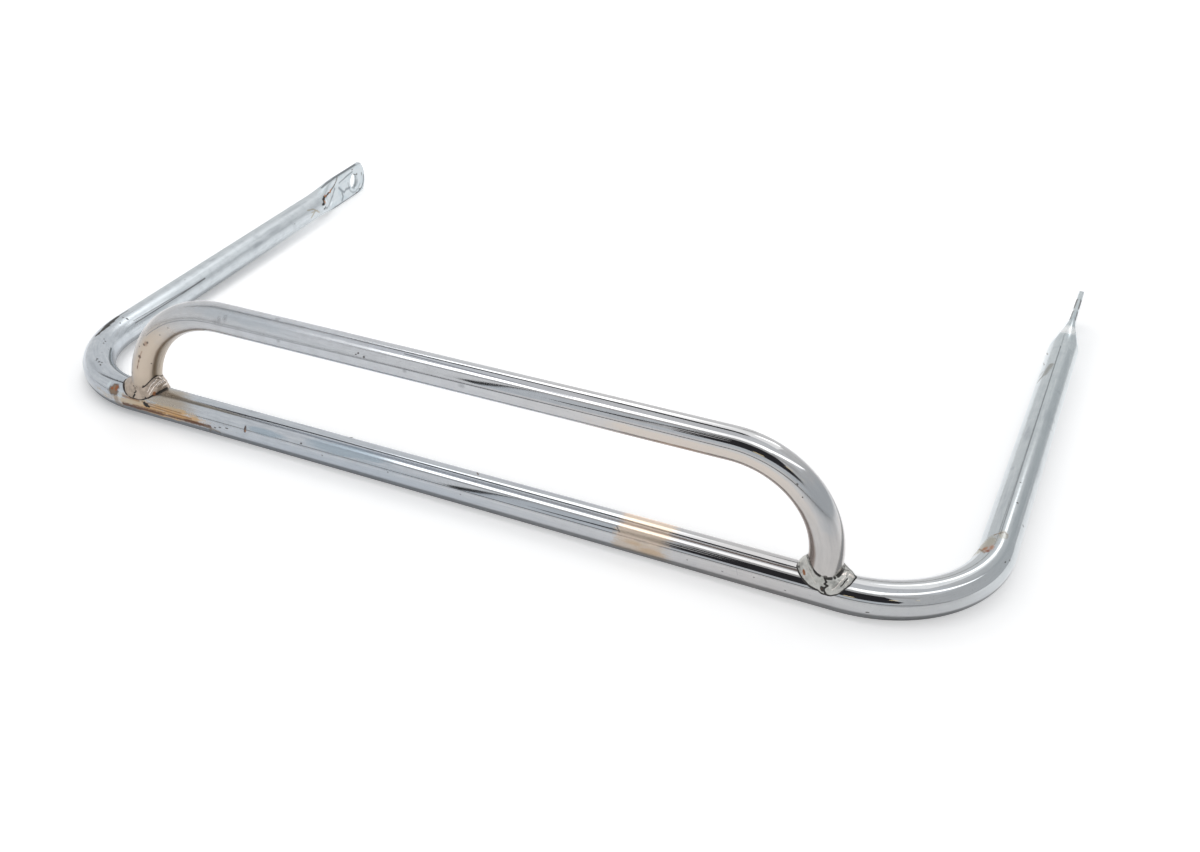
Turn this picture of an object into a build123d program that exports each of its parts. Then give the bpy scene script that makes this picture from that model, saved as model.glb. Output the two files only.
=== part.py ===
from build123d import *
from math import asin, cos, degrees, radians, sin, sqrt
import os

# Chrome-plated tube bar for a small vehicle, lying on the floor as it rests when taken off.
# One tube is bent into a wide U: a long front bar with two arms that run back and spread slightly.
# Each arm's end is pressed flat and upright, rounded at its tip and drilled for a bolt.
# A thinner tube is bent into a low upright hoop and welded onto the front bar at both feet.
# Millimetres. +X runs along the front bar, +Y runs back along the arms, +Z is up from the floor.
# The origin is on the floor, under the middle of the whole bar.

# Main tube
TUBE_DIA = 16.0
TUBE_WALL = 1.5
BAR_WIDTH = 457.0        # between the arms' centrelines, where they meet the front bar's line
CORNER_RADIUS = 55.0     # centreline of each corner bend
ARM_LENGTH = 315.0       # from the front bar's centreline to an arm's tip, along the arm
ARM_SPLAY = 4.2          # degrees that each arm spreads outward

# Pressed arm ends
BLADE_LENGTH = 41.0      # flat stretch, back from the tip
PRESS_LENGTH = 27.0      # stretch over which the round tube turns into the flat blade
BLADE_HEIGHT = 22.0
PRESSED_GAP = 0.3        # slit that is left between the two pressed walls
HOLE_DIA = 10.5
HOLE_TO_TIP = 15.0       # the tip is an arc about the hole
TIP_CORNER = 3.0         # rounding where that arc meets the blade's edges

# Hoop
HOOP_DIA = 14.0
HOOP_WALL = 1.5
LEFT_FOOT_INSET = 60.5   # each leg stands this far in from its arm's line, so the hoop is just off the middle
RIGHT_FOOT_INSET = 58.5
HOOP_RISE = 56.5         # from the front bar's centreline to the hoop's
LEFT_LEG_STRAIGHT = 1.5  # straight run of each leg under its bend: the left bend is the wider one
RIGHT_LEG_STRAIGHT = 14.5

# Weld collars at the hoop's feet
WELD_SPREAD = 5.2        # beyond the leg's side, along the front bar
WELD_CLIMB = 6.2         # up the leg's side, from the front bar's crown
WELD_DIP = 3.8           # how much lower the collar's rim is at the leg's front and back
WELD_SKIN = 0.3          # thickness at the collar's rim
WELD_TOE = 0.4           # thickness where the collar ends on the front bar's front and back
WELD_TOE_ANGLE = 72.0    # degrees from the crown, round the front bar, to that end

tube_r = TUBE_DIA / 2
hoop_r = HOOP_DIA / 2
left_foot_x = LEFT_FOOT_INSET - BAR_WIDTH / 2
right_foot_x = BAR_WIDTH / 2 - RIGHT_FOOT_INSET
splay = radians(ARM_SPLAY)
blade_half_thick = TUBE_WALL + PRESSED_GAP / 2
blade_start = ARM_LENGTH - BLADE_LENGTH
press_start = blade_start - PRESS_LENGTH

# The blades are deeper than the tube, so the arms rise a little where the bar lies on a floor.
rest_rise = degrees(asin((BLADE_HEIGHT / 2 - tube_r) / (blade_start * cos(splay))))


def arm_run(side):
    """The direction of an arm from the front bar to its tip: side is -1 for left, 1 for right."""
    return Vector(side * sin(splay), cos(splay), 0)


def arm_plane(side, along):
    """The plane across an arm at a distance along it: x points right across it, and y is up."""
    start = Vector(side * BAR_WIDTH / 2, 0, 0)
    run = arm_run(side)
    across = Vector(run.Y, -run.X, 0)
    return Plane(start + run * along, x_dir=across, z_dir=-run)


def pressed_section(plane, pressed, inset):
    """The arm's section inside its skin by inset: round at pressed 0, and flat at pressed 1."""
    ease = pressed * pressed * (3 - 2 * pressed)

    def blend(round_size, flat_size):
        return round_size + (flat_size - round_size) * ease

    round_r = tube_r - inset
    flat_high = BLADE_HEIGHT / 2 - inset
    flat_thick = blade_half_thick - inset
    high = blend(round_r, flat_high)
    thick = blend(round_r, flat_thick)
    corner_x = blend(round_r / sqrt(2), flat_thick * 0.97)
    corner_y = blend(round_r / sqrt(2), flat_high - flat_thick)
    corners = [(corner_x, corner_y), (-corner_x, corner_y), (-corner_x, -corner_y), (corner_x, -corner_y)]
    middles = [(0, high), (-thick, 0), (0, -high), (thick, 0)]
    arcs = [ThreePointArc(corners[i], middles[i], corners[(i + 1) % 4]) for i in range(4)]
    return plane * make_face(arcs)


def pressed_end(side, inset):
    """The arm's end, from the round tube over the pressed stretch to the square end of its blade."""
    steps = 6
    sections = [
        pressed_section(arm_plane(side, press_start + PRESS_LENGTH * i / steps), i / steps, inset)
        for i in range(steps + 1)
    ]
    blade = extrude(sections[-1], amount=BLADE_LENGTH, dir=arm_run(side))
    return loft(sections) + blade


def tip_waste(side):
    """What is trimmed off the blade's square end, so that its tip is an arc about the hole."""
    beside = Plane(
        arm_plane(side, ARM_LENGTH - HOLE_TO_TIP).origin,
        x_dir=arm_run(side),
        z_dir=arm_plane(side, 0).x_dir,
    )
    square = Rectangle(2 * HOLE_TO_TIP, 2 * BLADE_HEIGHT, align=(Align.MIN, Align.CENTER))
    tip = Circle(HOLE_TO_TIP) & Rectangle(2 * HOLE_TO_TIP, BLADE_HEIGHT)
    tip = fillet(tip.vertices().group_by(Axis.X)[-1], TIP_CORNER)
    return extrude(beside * (square - tip), amount=TUBE_DIA, both=True)


def bolt_hole(side):
    """The drill through both of the blade's walls."""
    centre = arm_plane(side, ARM_LENGTH - HOLE_TO_TIP)
    return centre * Rot(0, 90, 0) * Cylinder(HOLE_DIA / 2, 2 * TUBE_DIA)


def bent_tube(inset):
    """The main tube inside its skin by inset, as a solid, with the blades' ends square."""
    path = FilletPolyline(
        arm_plane(-1, press_start).origin,
        arm_plane(-1, 0).origin,
        arm_plane(1, 0).origin,
        arm_plane(1, press_start).origin,
        radius=CORNER_RADIUS,
    )
    body = sweep(arm_plane(-1, press_start) * Circle(tube_r - inset), path=path)
    return body + pressed_end(-1, inset) + pressed_end(1, inset)


def hoop_rod(inset):
    """The hoop inside its skin by inset, as a solid that starts on the front bar's centreline."""
    path = FilletPolyline(
        (left_foot_x, 0, 0),
        (left_foot_x, 0, HOOP_RISE),
        (right_foot_x, 0, HOOP_RISE),
        (right_foot_x, 0, 0),
        radius=[HOOP_RISE - LEFT_LEG_STRAIGHT, HOOP_RISE - RIGHT_LEG_STRAIGHT],
    )
    return sweep(Pos(left_foot_x, 0, 0) * Circle(hoop_r - inset), path=path)


def weld_collar(foot_x, inward, leg_straight):
    """A weld round one foot of the hoop, not yet cut to the tubes: inward is 1 or -1 along X."""
    rim = tube_r + WELD_CLIMB
    toe = tube_r * cos(radians(WELD_TOE_ANGLE))
    toe_half_deep = tube_r * sin(radians(WELD_TOE_ANGLE)) + WELD_TOE
    toe_half_wide = hoop_r + WELD_SPREAD * (rim - toe) / WELD_CLIMB
    bend = HOOP_RISE - leg_straight
    lean = bend - sqrt(bend ** 2 - max(0, rim - leg_straight) ** 2)
    rim_x = foot_x + inward * lean
    rim_r = hoop_r + WELD_SKIN
    skirt = loft([
        Pos(foot_x, 0, toe) * Ellipse(toe_half_wide, toe_half_deep),
        Pos(rim_x, 0, rim) * Ellipse(rim_r, rim_r),
    ])
    dip = Plane.XZ * Polyline(
        (rim_x - rim_r, rim), (rim_x, rim - WELD_DIP), (rim_x + rim_r, rim), close=True
    )
    return skirt - extrude(make_face(dip), amount=2 * toe_half_deep, both=True)


# Every piece is built about the front bar's centreline, then set down on the floor.
rise = Rot(rest_rise, 0, 0)
tube_skin = rise * (bent_tube(0) - tip_waste(-1) - tip_waste(1))
tube_bore = rise * (bent_tube(TUBE_WALL) + bolt_hole(-1) + bolt_hole(1))
hoop_skin = hoop_rod(0)

main_tube = tube_skin - tube_bore
hoop_tube = hoop_skin - hoop_rod(HOOP_WALL) - tube_skin
weld_left = weld_collar(left_foot_x, 1, LEFT_LEG_STRAIGHT) - tube_skin - hoop_skin
weld_right = weld_collar(right_foot_x, -1, RIGHT_LEG_STRAIGHT) - tube_skin - hoop_skin

outline = tube_skin.bounding_box()
set_down = Pos(0, -(outline.min.Y + outline.max.Y) / 2, -outline.min.Z)

nodes = {
    "main_tube": main_tube,
    "hoop_tube": hoop_tube,
    "weld_left": weld_left,
    "weld_right": weld_right,
}
os.makedirs("parts", exist_ok=True)
for name, shape in nodes.items():
    export_step(set_down * shape, f"parts/{name}.step")
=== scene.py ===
from math import asin, atan2, cos, pi, radians, sin, sqrt, tan

import bmesh
import bpy
import numpy as np
from mathutils import Matrix, Vector, noise


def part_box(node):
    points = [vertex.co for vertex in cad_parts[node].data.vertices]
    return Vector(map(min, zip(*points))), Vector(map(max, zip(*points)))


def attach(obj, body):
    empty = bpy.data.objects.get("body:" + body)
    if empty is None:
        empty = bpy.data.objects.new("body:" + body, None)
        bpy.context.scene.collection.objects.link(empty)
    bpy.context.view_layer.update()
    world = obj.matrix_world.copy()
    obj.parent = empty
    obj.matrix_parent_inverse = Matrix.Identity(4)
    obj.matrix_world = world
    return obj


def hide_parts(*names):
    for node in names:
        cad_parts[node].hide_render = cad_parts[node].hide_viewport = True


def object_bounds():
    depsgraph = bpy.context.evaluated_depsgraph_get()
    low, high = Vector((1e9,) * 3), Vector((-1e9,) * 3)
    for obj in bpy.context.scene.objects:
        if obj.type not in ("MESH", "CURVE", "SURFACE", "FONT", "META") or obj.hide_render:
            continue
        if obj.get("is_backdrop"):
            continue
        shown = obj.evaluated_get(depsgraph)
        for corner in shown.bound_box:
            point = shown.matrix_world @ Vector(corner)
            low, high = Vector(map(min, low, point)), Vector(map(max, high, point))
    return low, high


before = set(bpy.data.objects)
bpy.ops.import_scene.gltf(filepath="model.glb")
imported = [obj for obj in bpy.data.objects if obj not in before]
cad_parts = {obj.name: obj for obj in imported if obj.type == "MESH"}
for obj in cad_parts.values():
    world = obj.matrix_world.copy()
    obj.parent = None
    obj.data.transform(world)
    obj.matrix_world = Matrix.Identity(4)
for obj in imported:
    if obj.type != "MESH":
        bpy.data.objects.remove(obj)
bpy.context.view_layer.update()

# A chrome-plated tube bar: a wide U with pressed, drilled arm ends and a low hoop welded on its front run.
# The plate is bright on the right half, hazed on the left, and stained with rust round the left weld.
# Sizes are in metres. +X runs along the front run, +Y back along the arms, +Z up from the floor.

MM = 0.001

# Main tube
TUBE_R = 8.0 * MM
WALL = 1.5 * MM
BAR_WIDTH = 457.0 * MM          # between the arms' centrelines, where they meet the front run's line
BEND_R = 55.0 * MM
ARM_LENGTH = 315.0 * MM
SPLAY = radians(4.2)

# Pressed arm ends
BLADE_LENGTH = 41.0 * MM
PRESS_LENGTH = 27.0 * MM
BLADE_HALF_HIGH = 11.0 * MM
PRESSED_GAP = 0.3 * MM
HOLE_R = 5.25 * MM
HOLE_TO_TIP = 15.0 * MM
TIP_CORNER = 3.0 * MM

# Hoop
HOOP_R = 7.0 * MM
LEFT_FOOT_X = -168.0 * MM
RIGHT_FOOT_X = 170.0 * MM
HOOP_RISE = 56.5 * MM
LEFT_LEG_STRAIGHT = 1.5 * MM
RIGHT_LEG_STRAIGHT = 14.5 * MM

# Worked out from those sizes
CORNER_TURN = pi / 2 - SPLAY
CORNER_TANGENT = BEND_R * tan(CORNER_TURN / 2)
BEND_X = BAR_WIDTH / 2 - CORNER_TANGENT          # where the straight front run ends
BEND_RUN = BEND_R * CORNER_TURN
HALF_RUN = BEND_X + BEND_RUN + ARM_LENGTH - CORNER_TANGENT
BLADE_START = ARM_LENGTH - BLADE_LENGTH
PRESS_START = BLADE_START - PRESS_LENGTH
BLADE_HALF_THICK = WALL + PRESSED_GAP / 2
ARM_RISE = asin((BLADE_HALF_HIGH - TUBE_R) / (BLADE_START * cos(SPLAY)))
LEFT_BEND = HOOP_RISE - LEFT_LEG_STRAIGHT
RIGHT_BEND = HOOP_RISE - RIGHT_LEG_STRAIGHT

# Where the hoop's stretches begin and end, along it from its left foot
TOP_START = LEFT_LEG_STRAIGHT + LEFT_BEND * pi / 2
TOP_END = TOP_START + RIGHT_FOOT_X - LEFT_FOOT_X - LEFT_BEND - RIGHT_BEND
LEG_START = TOP_END + RIGHT_BEND * pi / 2
HOOP_RUN = LEG_START + RIGHT_LEG_STRAIGHT

# Where the front run's centreline lies in the frame
hoop_low, hoop_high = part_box("hoop_tube")
BAR_Y = (hoop_low.y + hoop_high.y) / 2
BAR_Z = hoop_high.z - HOOP_R - HOOP_RISE
BAR = np.array([0.0, BAR_Y, BAR_Z])


# Ways round and along the tubes

def lean_back(points):
    """Points of the main tube, from the frame to the plane of its own centreline."""
    local = np.asarray(points, float) - BAR
    c, s = cos(ARM_RISE), sin(ARM_RISE)
    return np.stack([local[:, 0], local[:, 1] * c + local[:, 2] * s, local[:, 2] * c - local[:, 1] * s], 1)


def lean_up(local):
    """The other way: from the plane of the main tube's centreline to the frame."""
    c, s = cos(ARM_RISE), sin(ARM_RISE)
    turned = np.stack([local[:, 0], local[:, 1] * c - local[:, 2] * s, local[:, 2] * c + local[:, 1] * s], 1)
    return turned + BAR


def arm_axes(side):
    """An arm's corner on the front run's line, its direction back, and the one across it to the right."""
    corner = np.array([side * BAR_WIDTH / 2, 0.0])
    return corner, np.array([side * sin(SPLAY), cos(SPLAY)]), np.array([cos(SPLAY), -side * sin(SPLAY)])


def arm_points(along_arm, outward, height, side):
    """Points in the frame, from a distance along one arm, an outward offset and a height."""
    corner, run, across = arm_axes(side)
    flat = corner + np.outer(along_arm, run) + np.outer(outward, across * side)
    return lean_up(np.column_stack([flat, height]))


def along_main(points):
    """Each point's run along the main tube from the left tip, and its angle round it: 0 up, 90 outward."""
    local = lean_back(points)
    side = np.where(local[:, 0] < 0, -1.0, 1.0)
    across, back, up = np.abs(local[:, 0]), local[:, 1], local[:, 2]
    from_bend = np.stack([across - BEND_X, back - BEND_R], 1)
    turn = np.arctan2(from_bend[:, 0], -from_bend[:, 1])
    past_corner = np.stack([across - BAR_WIDTH / 2, back], 1)
    on_arm = past_corner @ np.array([sin(SPLAY), cos(SPLAY)])
    beside_arm = past_corner @ np.array([cos(SPLAY), -sin(SPLAY)])
    run = np.where(turn < 0, across, np.where(
        turn < CORNER_TURN, BEND_X + BEND_R * turn, BEND_X + BEND_RUN + on_arm - CORNER_TANGENT))
    outward = np.where(turn < 0, -back, np.where(
        turn < CORNER_TURN, np.hypot(from_bend[:, 0], from_bend[:, 1]) - BEND_R, beside_arm))
    return HALF_RUN + side * run, np.degrees(np.arctan2(outward, up))


def along_hoop(points):
    """Each point's run along the hoop from its left foot, and its angle round it: 0 outward, 90 front."""
    local = np.asarray(points, float) - BAR
    x, front, z = local[:, 0], -local[:, 1], local[:, 2]
    left = np.stack([x - (LEFT_FOOT_X + LEFT_BEND), z - LEFT_LEG_STRAIGHT], 1)
    right = np.stack([x - (RIGHT_FOOT_X - RIGHT_BEND), z - RIGHT_LEG_STRAIGHT], 1)
    left_turn = np.arctan2(left[:, 1], -left[:, 0])
    right_turn = np.arctan2(right[:, 0], right[:, 1])
    on_left = x < (LEFT_FOOT_X + RIGHT_FOOT_X) / 2
    run_left = np.where(left_turn < 0, z, np.where(
        left[:, 0] < 0, LEFT_LEG_STRAIGHT + LEFT_BEND * left_turn, TOP_START + left[:, 0]))
    out_left = np.where(left_turn < 0, LEFT_FOOT_X - x, np.where(
        left[:, 0] < 0, np.hypot(left[:, 0], left[:, 1]) - LEFT_BEND, z - HOOP_RISE))
    run_right = np.where(right[:, 1] < 0, LEG_START - right[:, 1], np.where(
        right[:, 0] > 0, TOP_END + RIGHT_BEND * right_turn, TOP_END + right[:, 0]))
    out_right = np.where(right[:, 1] < 0, x - RIGHT_FOOT_X, np.where(
        right[:, 0] > 0, np.hypot(right[:, 0], right[:, 1]) - RIGHT_BEND, z - HOOP_RISE))
    run = np.where(on_left, run_left, run_right)
    out = np.where(on_left, out_left, out_right)
    return run, np.degrees(np.arctan2(front, out))


def field_of(items, field, kind=int, wide=1):
    """One field of all of a mesh's items: a number for each, or a row of them where it is wide."""
    flat = np.zeros(len(items) * wide, kind)
    items.foreach_get(field, flat)
    return flat.reshape(-1, wide) if wide > 1 else flat


def points_of(mesh):
    """A mesh's vertices as rows of x, y, z."""
    return field_of(mesh.vertices, "co", float, 3)


def set_points(mesh, points):
    """Moves a mesh's vertices to those rows of x, y, z."""
    mesh.vertices.foreach_set("co", np.asarray(points, np.float32).ravel())
    mesh.update()


def closed_mesh(name, points, faces):
    """A mesh of those points and faces, with every face turned outward."""
    mesh = bpy.data.meshes.new(name)
    mesh.from_pydata(np.asarray(points, float).tolist(), [], faces)
    shape = bmesh.new()
    shape.from_mesh(mesh)
    bmesh.ops.recalc_face_normals(shape, faces=shape.faces)
    shape.to_mesh(mesh)
    shape.free()
    return mesh


def link(name, mesh):
    """A new object of that mesh, at the origin."""
    piece = bpy.data.objects.new(name, mesh)
    bpy.context.scene.collection.objects.link(piece)
    return piece


def settle(piece, name):
    """The piece with its modifiers applied to its mesh, as a plain mesh of that name."""
    graph = bpy.context.evaluated_depsgraph_get()
    mesh = bpy.data.meshes.new_from_object(piece.evaluated_get(graph))
    mesh.name = name
    piece.modifiers.clear()
    piece.data = mesh
    return piece


# The tube sweeper: a route with two corners becomes a round tube skin, bent at both corners

def sweep_tree():
    """Geometry Nodes that bend a three-run route at its two corners and sweep a circle along it."""
    tree = bpy.data.node_groups.new("bent_tube", "GeometryNodeTree")
    sockets = {}
    for name, kind, value in (
        ("Route", "NodeSocketGeometry", None),
        ("First bend", "NodeSocketFloat", 0.05),
        ("Second bend", "NodeSocketFloat", 0.05),
        ("Tube radius", "NodeSocketFloat", 0.008),
        ("Sides", "NodeSocketInt", 48),
        ("Fine reach", "NodeSocketFloat", 0.05),
        ("Fine steps", "NodeSocketInt", 50),
        ("Plain steps", "NodeSocketInt", 200),
        ("Finish", "NodeSocketMaterial", None),
    ):
        socket = tree.interface.new_socket(name, in_out="INPUT", socket_type=kind)
        if value is not None:
            socket.default_value = value
        sockets[name] = socket.identifier
    tree.interface.new_socket("Skin", in_out="OUTPUT", socket_type="NodeSocketGeometry")

    def node(kind, settings=None, *values, output=0, **named):
        made = tree.nodes.new(kind)
        for key, value in (settings or {}).items():
            setattr(made, key, value)
        for key, value in [*enumerate(values), *named.items()]:
            socket = made.inputs[key.replace("_", " ") if isinstance(key, str) else key]
            if isinstance(value, bpy.types.NodeSocket):
                tree.links.new(value, socket)
            elif value is not None:
                socket.default_value = value
        return made.outputs[output]

    def maths(operation, first, second):
        return node("ShaderNodeMath", {"operation": operation}, first, second)

    given = tree.nodes.new("NodeGroupInput").outputs
    route = node("GeometryNodeMeshToCurve", None, given["Route"])
    early = node("FunctionNodeCompare", {"data_type": "INT", "operation": "LESS_THAN"}, None, None,
                 node("GeometryNodeInputIndex"), 2)
    bend = node("GeometryNodeSwitch", {"input_type": "FLOAT"}, early, given["Second bend"],
                given["First bend"])
    rounded = node("GeometryNodeFilletCurve", {"mode": "POLY"}, route, Radius=bend, Count=64)
    length = node("GeometryNodeCurveLength", None, rounded)

    # Rings lie close together over the fine reach at both ends, and wider apart between
    first_stop = given["Fine steps"]
    second_stop = maths("ADD", first_stop, given["Plain steps"])
    last_stop = maths("ADD", second_stop, first_stop)
    between = maths("SUBTRACT", length, maths("MULTIPLY", given["Fine reach"], 2.0))
    ring = node("GeometryNodeInputIndex")
    reach = maths("ADD", maths(
        "ADD",
        node("ShaderNodeMapRange", None, ring, 0.0, first_stop, 0.0, given["Fine reach"]),
        node("ShaderNodeMapRange", None, ring, first_stop, second_stop, 0.0, between)),
        node("ShaderNodeMapRange", None, ring, second_stop, last_stop, 0.0, given["Fine reach"]))
    even = node("GeometryNodeResampleCurve", {"mode": "COUNT"}, rounded, Count=maths("ADD", last_stop, 1.0))
    place = node("GeometryNodeSampleCurve", {"mode": "LENGTH"}, rounded, Length=reach, output=1)
    spaced = node("GeometryNodeSetPosition", None, even, Position=place)

    circle = node("GeometryNodeCurvePrimitiveCircle", {"mode": "RADIUS"},
                  Resolution=given["Sides"], Radius=given["Tube radius"])
    swept = node("GeometryNodeCurveToMesh", None, spaced, circle)
    smooth = node("GeometryNodeSetShadeSmooth", None, swept)
    real = node("GeometryNodeRealizeInstances", None, smooth)
    finished = node("GeometryNodeSetMaterial", None, real, Material=given["Finish"])
    tree.links.new(finished, tree.nodes.new("NodeGroupOutput").inputs["Skin"])
    return tree, sockets


SWEEP, SWEEP_SOCKETS = sweep_tree()


def swept_tube(name, corners, finish, **sizes):
    """A bent tube's skin along a route of four points, open at both ends."""
    route = bpy.data.meshes.new(name + "_route")
    route.from_pydata([tuple(p) for p in corners], [(0, 1), (1, 2), (2, 3)], [])
    piece = link(name, route)
    maker = piece.modifiers.new("sweep", "NODES")
    maker.node_group = SWEEP
    for key, value in {**sizes, "Finish": finish}.items():
        maker[SWEEP_SOCKETS[key.replace("_", " ")]] = value
    return settle(piece, name)


def map_tube(piece, along):
    """A UV map of the piece: u is metres along its tube, and v is degrees round it over 360, plus a half."""
    mesh = piece.data
    run, angle = along(points_of(mesh))
    corners = field_of(mesh.loops, "vertex_index")
    turn = angle[corners]
    first = np.repeat(turn[field_of(mesh.polygons, "loop_start")], field_of(mesh.polygons, "loop_total"))
    turn = np.where(turn - first > 180, turn - 360, np.where(turn - first < -180, turn + 360, turn))
    flat = np.stack([run[corners], turn / 360 + 0.5], 1)
    layer = mesh.uv_layers.new(name="tube_map")
    layer.data.foreach_set("uv", flat.astype(np.float32).ravel())


BLADE_MAP_FROM = 225 * MM        # along the arm: where the map of the pressed ends begins
BLADE_PLATE_FROM = 238 * MM      # and where their own plate begins
OFF_THE_MAP = 9.0


def map_blades(piece, plate):
    """A UV map of the pressed ends, and their own plate.

    The map is metres along the arm and up, plus a whole number for each face of each arm.
    """
    mesh = piece.data
    local = lean_back(points_of(mesh))
    corners = field_of(mesh.loops, "vertex_index")
    firsts = corners[field_of(mesh.polygons, "loop_start")]
    facing = field_of(mesh.polygons, "normal", float, 3)[:, 0]
    facing = np.repeat(facing, field_of(mesh.polygons, "loop_total"))
    flat = np.full((len(corners), 2), OFF_THE_MAP)
    ends = np.zeros(len(firsts), bool)
    for side in (-1, 1):
        corner, run, _ = arm_axes(side)
        on_arm = (local[:, :2] - corner) @ run
        here = local[:, 0] * side > 0
        mine = (on_arm[corners] > BLADE_MAP_FROM) & here[corners]
        ends |= (on_arm[firsts] > BLADE_PLATE_FROM) & here[firsts]
        which = side + 1 + (facing * side > 0)
        flat[mine] = np.stack([on_arm[corners] + which, local[corners, 2]], 1)[mine]
    layer = mesh.uv_layers.new(name="blade_map")
    layer.data.foreach_set("uv", flat.astype(np.float32).ravel())
    mesh.materials.append(plate)
    mesh.polygons.foreach_set("material_index", ends.astype(np.int32))


def smoothstep(value):
    """0 to 1 with level ends."""
    t = np.clip(value, 0, 1)
    return t * t * (3 - 2 * t)


# Pressed ends

def arc_through(edge, deep, top):
    """The arc through (-edge, deep), (0, top) and (edge, deep): its centre, radius and half angle."""
    centre = (edge ** 2 + deep ** 2 - top ** 2) / (2 * (deep - top))
    return centre, top - centre, np.arctan2(edge, deep - centre)


def pressed_section(pressed, share, inset):
    """A point of the arm's section at a share of its way round from the top: round at pressed 0, flat at 1."""
    ease = smoothstep(pressed)
    round_r, flat_high, flat_thick = TUBE_R - inset, BLADE_HALF_HIGH - inset, BLADE_HALF_THICK - inset
    high = round_r + (flat_high - round_r) * ease
    thick = round_r + (flat_thick - round_r) * ease
    corner_x = round_r / sqrt(2) * (1 - ease) + flat_thick * 0.97 * ease
    corner_y = round_r / sqrt(2) * (1 - ease) + (flat_high - flat_thick) * ease
    top_centre, top_r, top_turn = arc_through(corner_x, corner_y, high)
    side_centre, side_r, side_turn = arc_through(corner_y, corner_x, thick)
    top_way, side_way = 2 * top_r * top_turn, 2 * side_r * side_turn
    way = (share % 1.0) * 2 * (top_way + side_way)
    edges = [top_way / 2, top_way / 2 + side_way, top_way * 1.5 + side_way, top_way * 1.5 + 2 * side_way]
    top = way < edges[0]
    right = (way >= edges[0]) & (way < edges[1])
    bottom = (way >= edges[1]) & (way < edges[2])
    left = (way >= edges[2]) & (way < edges[3])
    on_top = np.where(top, way, way - 2 * (top_way + side_way)) / top_r
    on_right = (way - top_way / 2 - side_way / 2) / side_r
    on_bottom = (way - top_way - side_way) / top_r
    on_left = (way - top_way * 1.5 - side_way * 1.5) / side_r
    x = np.select([right, bottom, left], [side_centre + side_r * np.cos(on_right), -top_r * np.sin(on_bottom),
                                          -side_centre - side_r * np.cos(on_left)], top_r * np.sin(on_top))
    y = np.select([right, bottom, left], [-side_r * np.sin(on_right), -top_centre - top_r * np.cos(on_bottom),
                                          side_r * np.sin(on_left)], top_centre + top_r * np.cos(on_top))
    return x, y


def crease(along, height, points, width):
    """1 on a broken line, falling to 0 about a width away: all in mm."""
    nearest = np.full(along.shape, 1e3)
    for (a, b), (c, d) in zip(points, points[1:]):
        share = ((along - a) * (c - a) + (height - b) * (d - b)) / ((c - a) ** 2 + (d - b) ** 2)
        share = np.clip(share, 0, 1)
        nearest = np.minimum(nearest, np.hypot(along - a - share * (c - a), height - b - share * (d - b)))
    return np.exp(-(nearest / width) ** 2)


def pressing_marks(along, height, side):
    """How far the press and the bolt's washer have marked a blade's inner face, in mm: below 0 is a dent."""
    if side > 0:
        height = -height
    lift = -0.30 * crease(along, height, CRACK, 0.55) - 0.22 * crease(along, height, CREASE_TWO, 0.6)
    lift = lift - 0.24 * crease(along, height, CREASE_THREE, 0.6) - 0.16 * crease(along, height, CREASE_FOUR,
                                                                                  0.6)
    lift = lift + 0.22 * crease(along, height, RIDGE, 0.8) - 0.10 * crease(along, height, WASHER_RING, 0.7)
    fan = np.clip((along - 252) / 20, 0, 1) * np.clip((300 - along) / 12, 0, 1)
    return lift + 0.14 * fan * np.sin(height * 0.9 + along * 0.25)


def press_arms(piece, inset):
    """Presses both ends of the swept skin flat."""
    local = lean_back(points_of(piece.data))
    for side in (-1, 1):
        corner, run, across = arm_axes(side)
        on_arm = (local[:, :2] - corner) @ run
        mine = (on_arm > PRESS_START) & (local[:, 0] * side > 0)
        beside = (local[mine, :2] - corner) @ across
        share = np.arctan2(beside, local[mine, 2]) / (2 * pi)
        x, y = pressed_section((on_arm[mine] - PRESS_START) / PRESS_LENGTH, share, inset)
        if inset == 0:
            inner = smoothstep((-side * x / MM - 0.9) / 0.5)
            inner = inner * smoothstep((BLADE_HALF_HIGH - np.abs(y)) / (2.5 * MM))
            x = x - side * MM * inner * pressing_marks(on_arm[mine] / MM, y / MM, side)
        local[mine, :2] = corner + np.outer(on_arm[mine], run) + np.outer(x, across)
        local[mine, 2] = y
    set_points(piece.data, lean_up(local))


# Shader tools

class Value:
    """A number that changes over the surface: arithmetic on it adds Math nodes."""

    def __init__(self, maker, socket):
        self.maker = maker
        self.socket = socket

    def math(self, operation, *others, clamp=False):
        return self.maker.add("ShaderNodeMath", {"operation": operation, "use_clamp": clamp}, self, *others)

    def __add__(self, other):
        return self.math("ADD", other)

    def __sub__(self, other):
        return self.math("SUBTRACT", other)

    def __rsub__(self, other):
        return self.maker.add("ShaderNodeMath", {"operation": "SUBTRACT"}, other, self)

    def __mul__(self, other):
        return self.math("MULTIPLY", other)

    def __truediv__(self, other):
        return self.math("DIVIDE", other)

    __radd__ = __add__
    __rmul__ = __mul__


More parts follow.
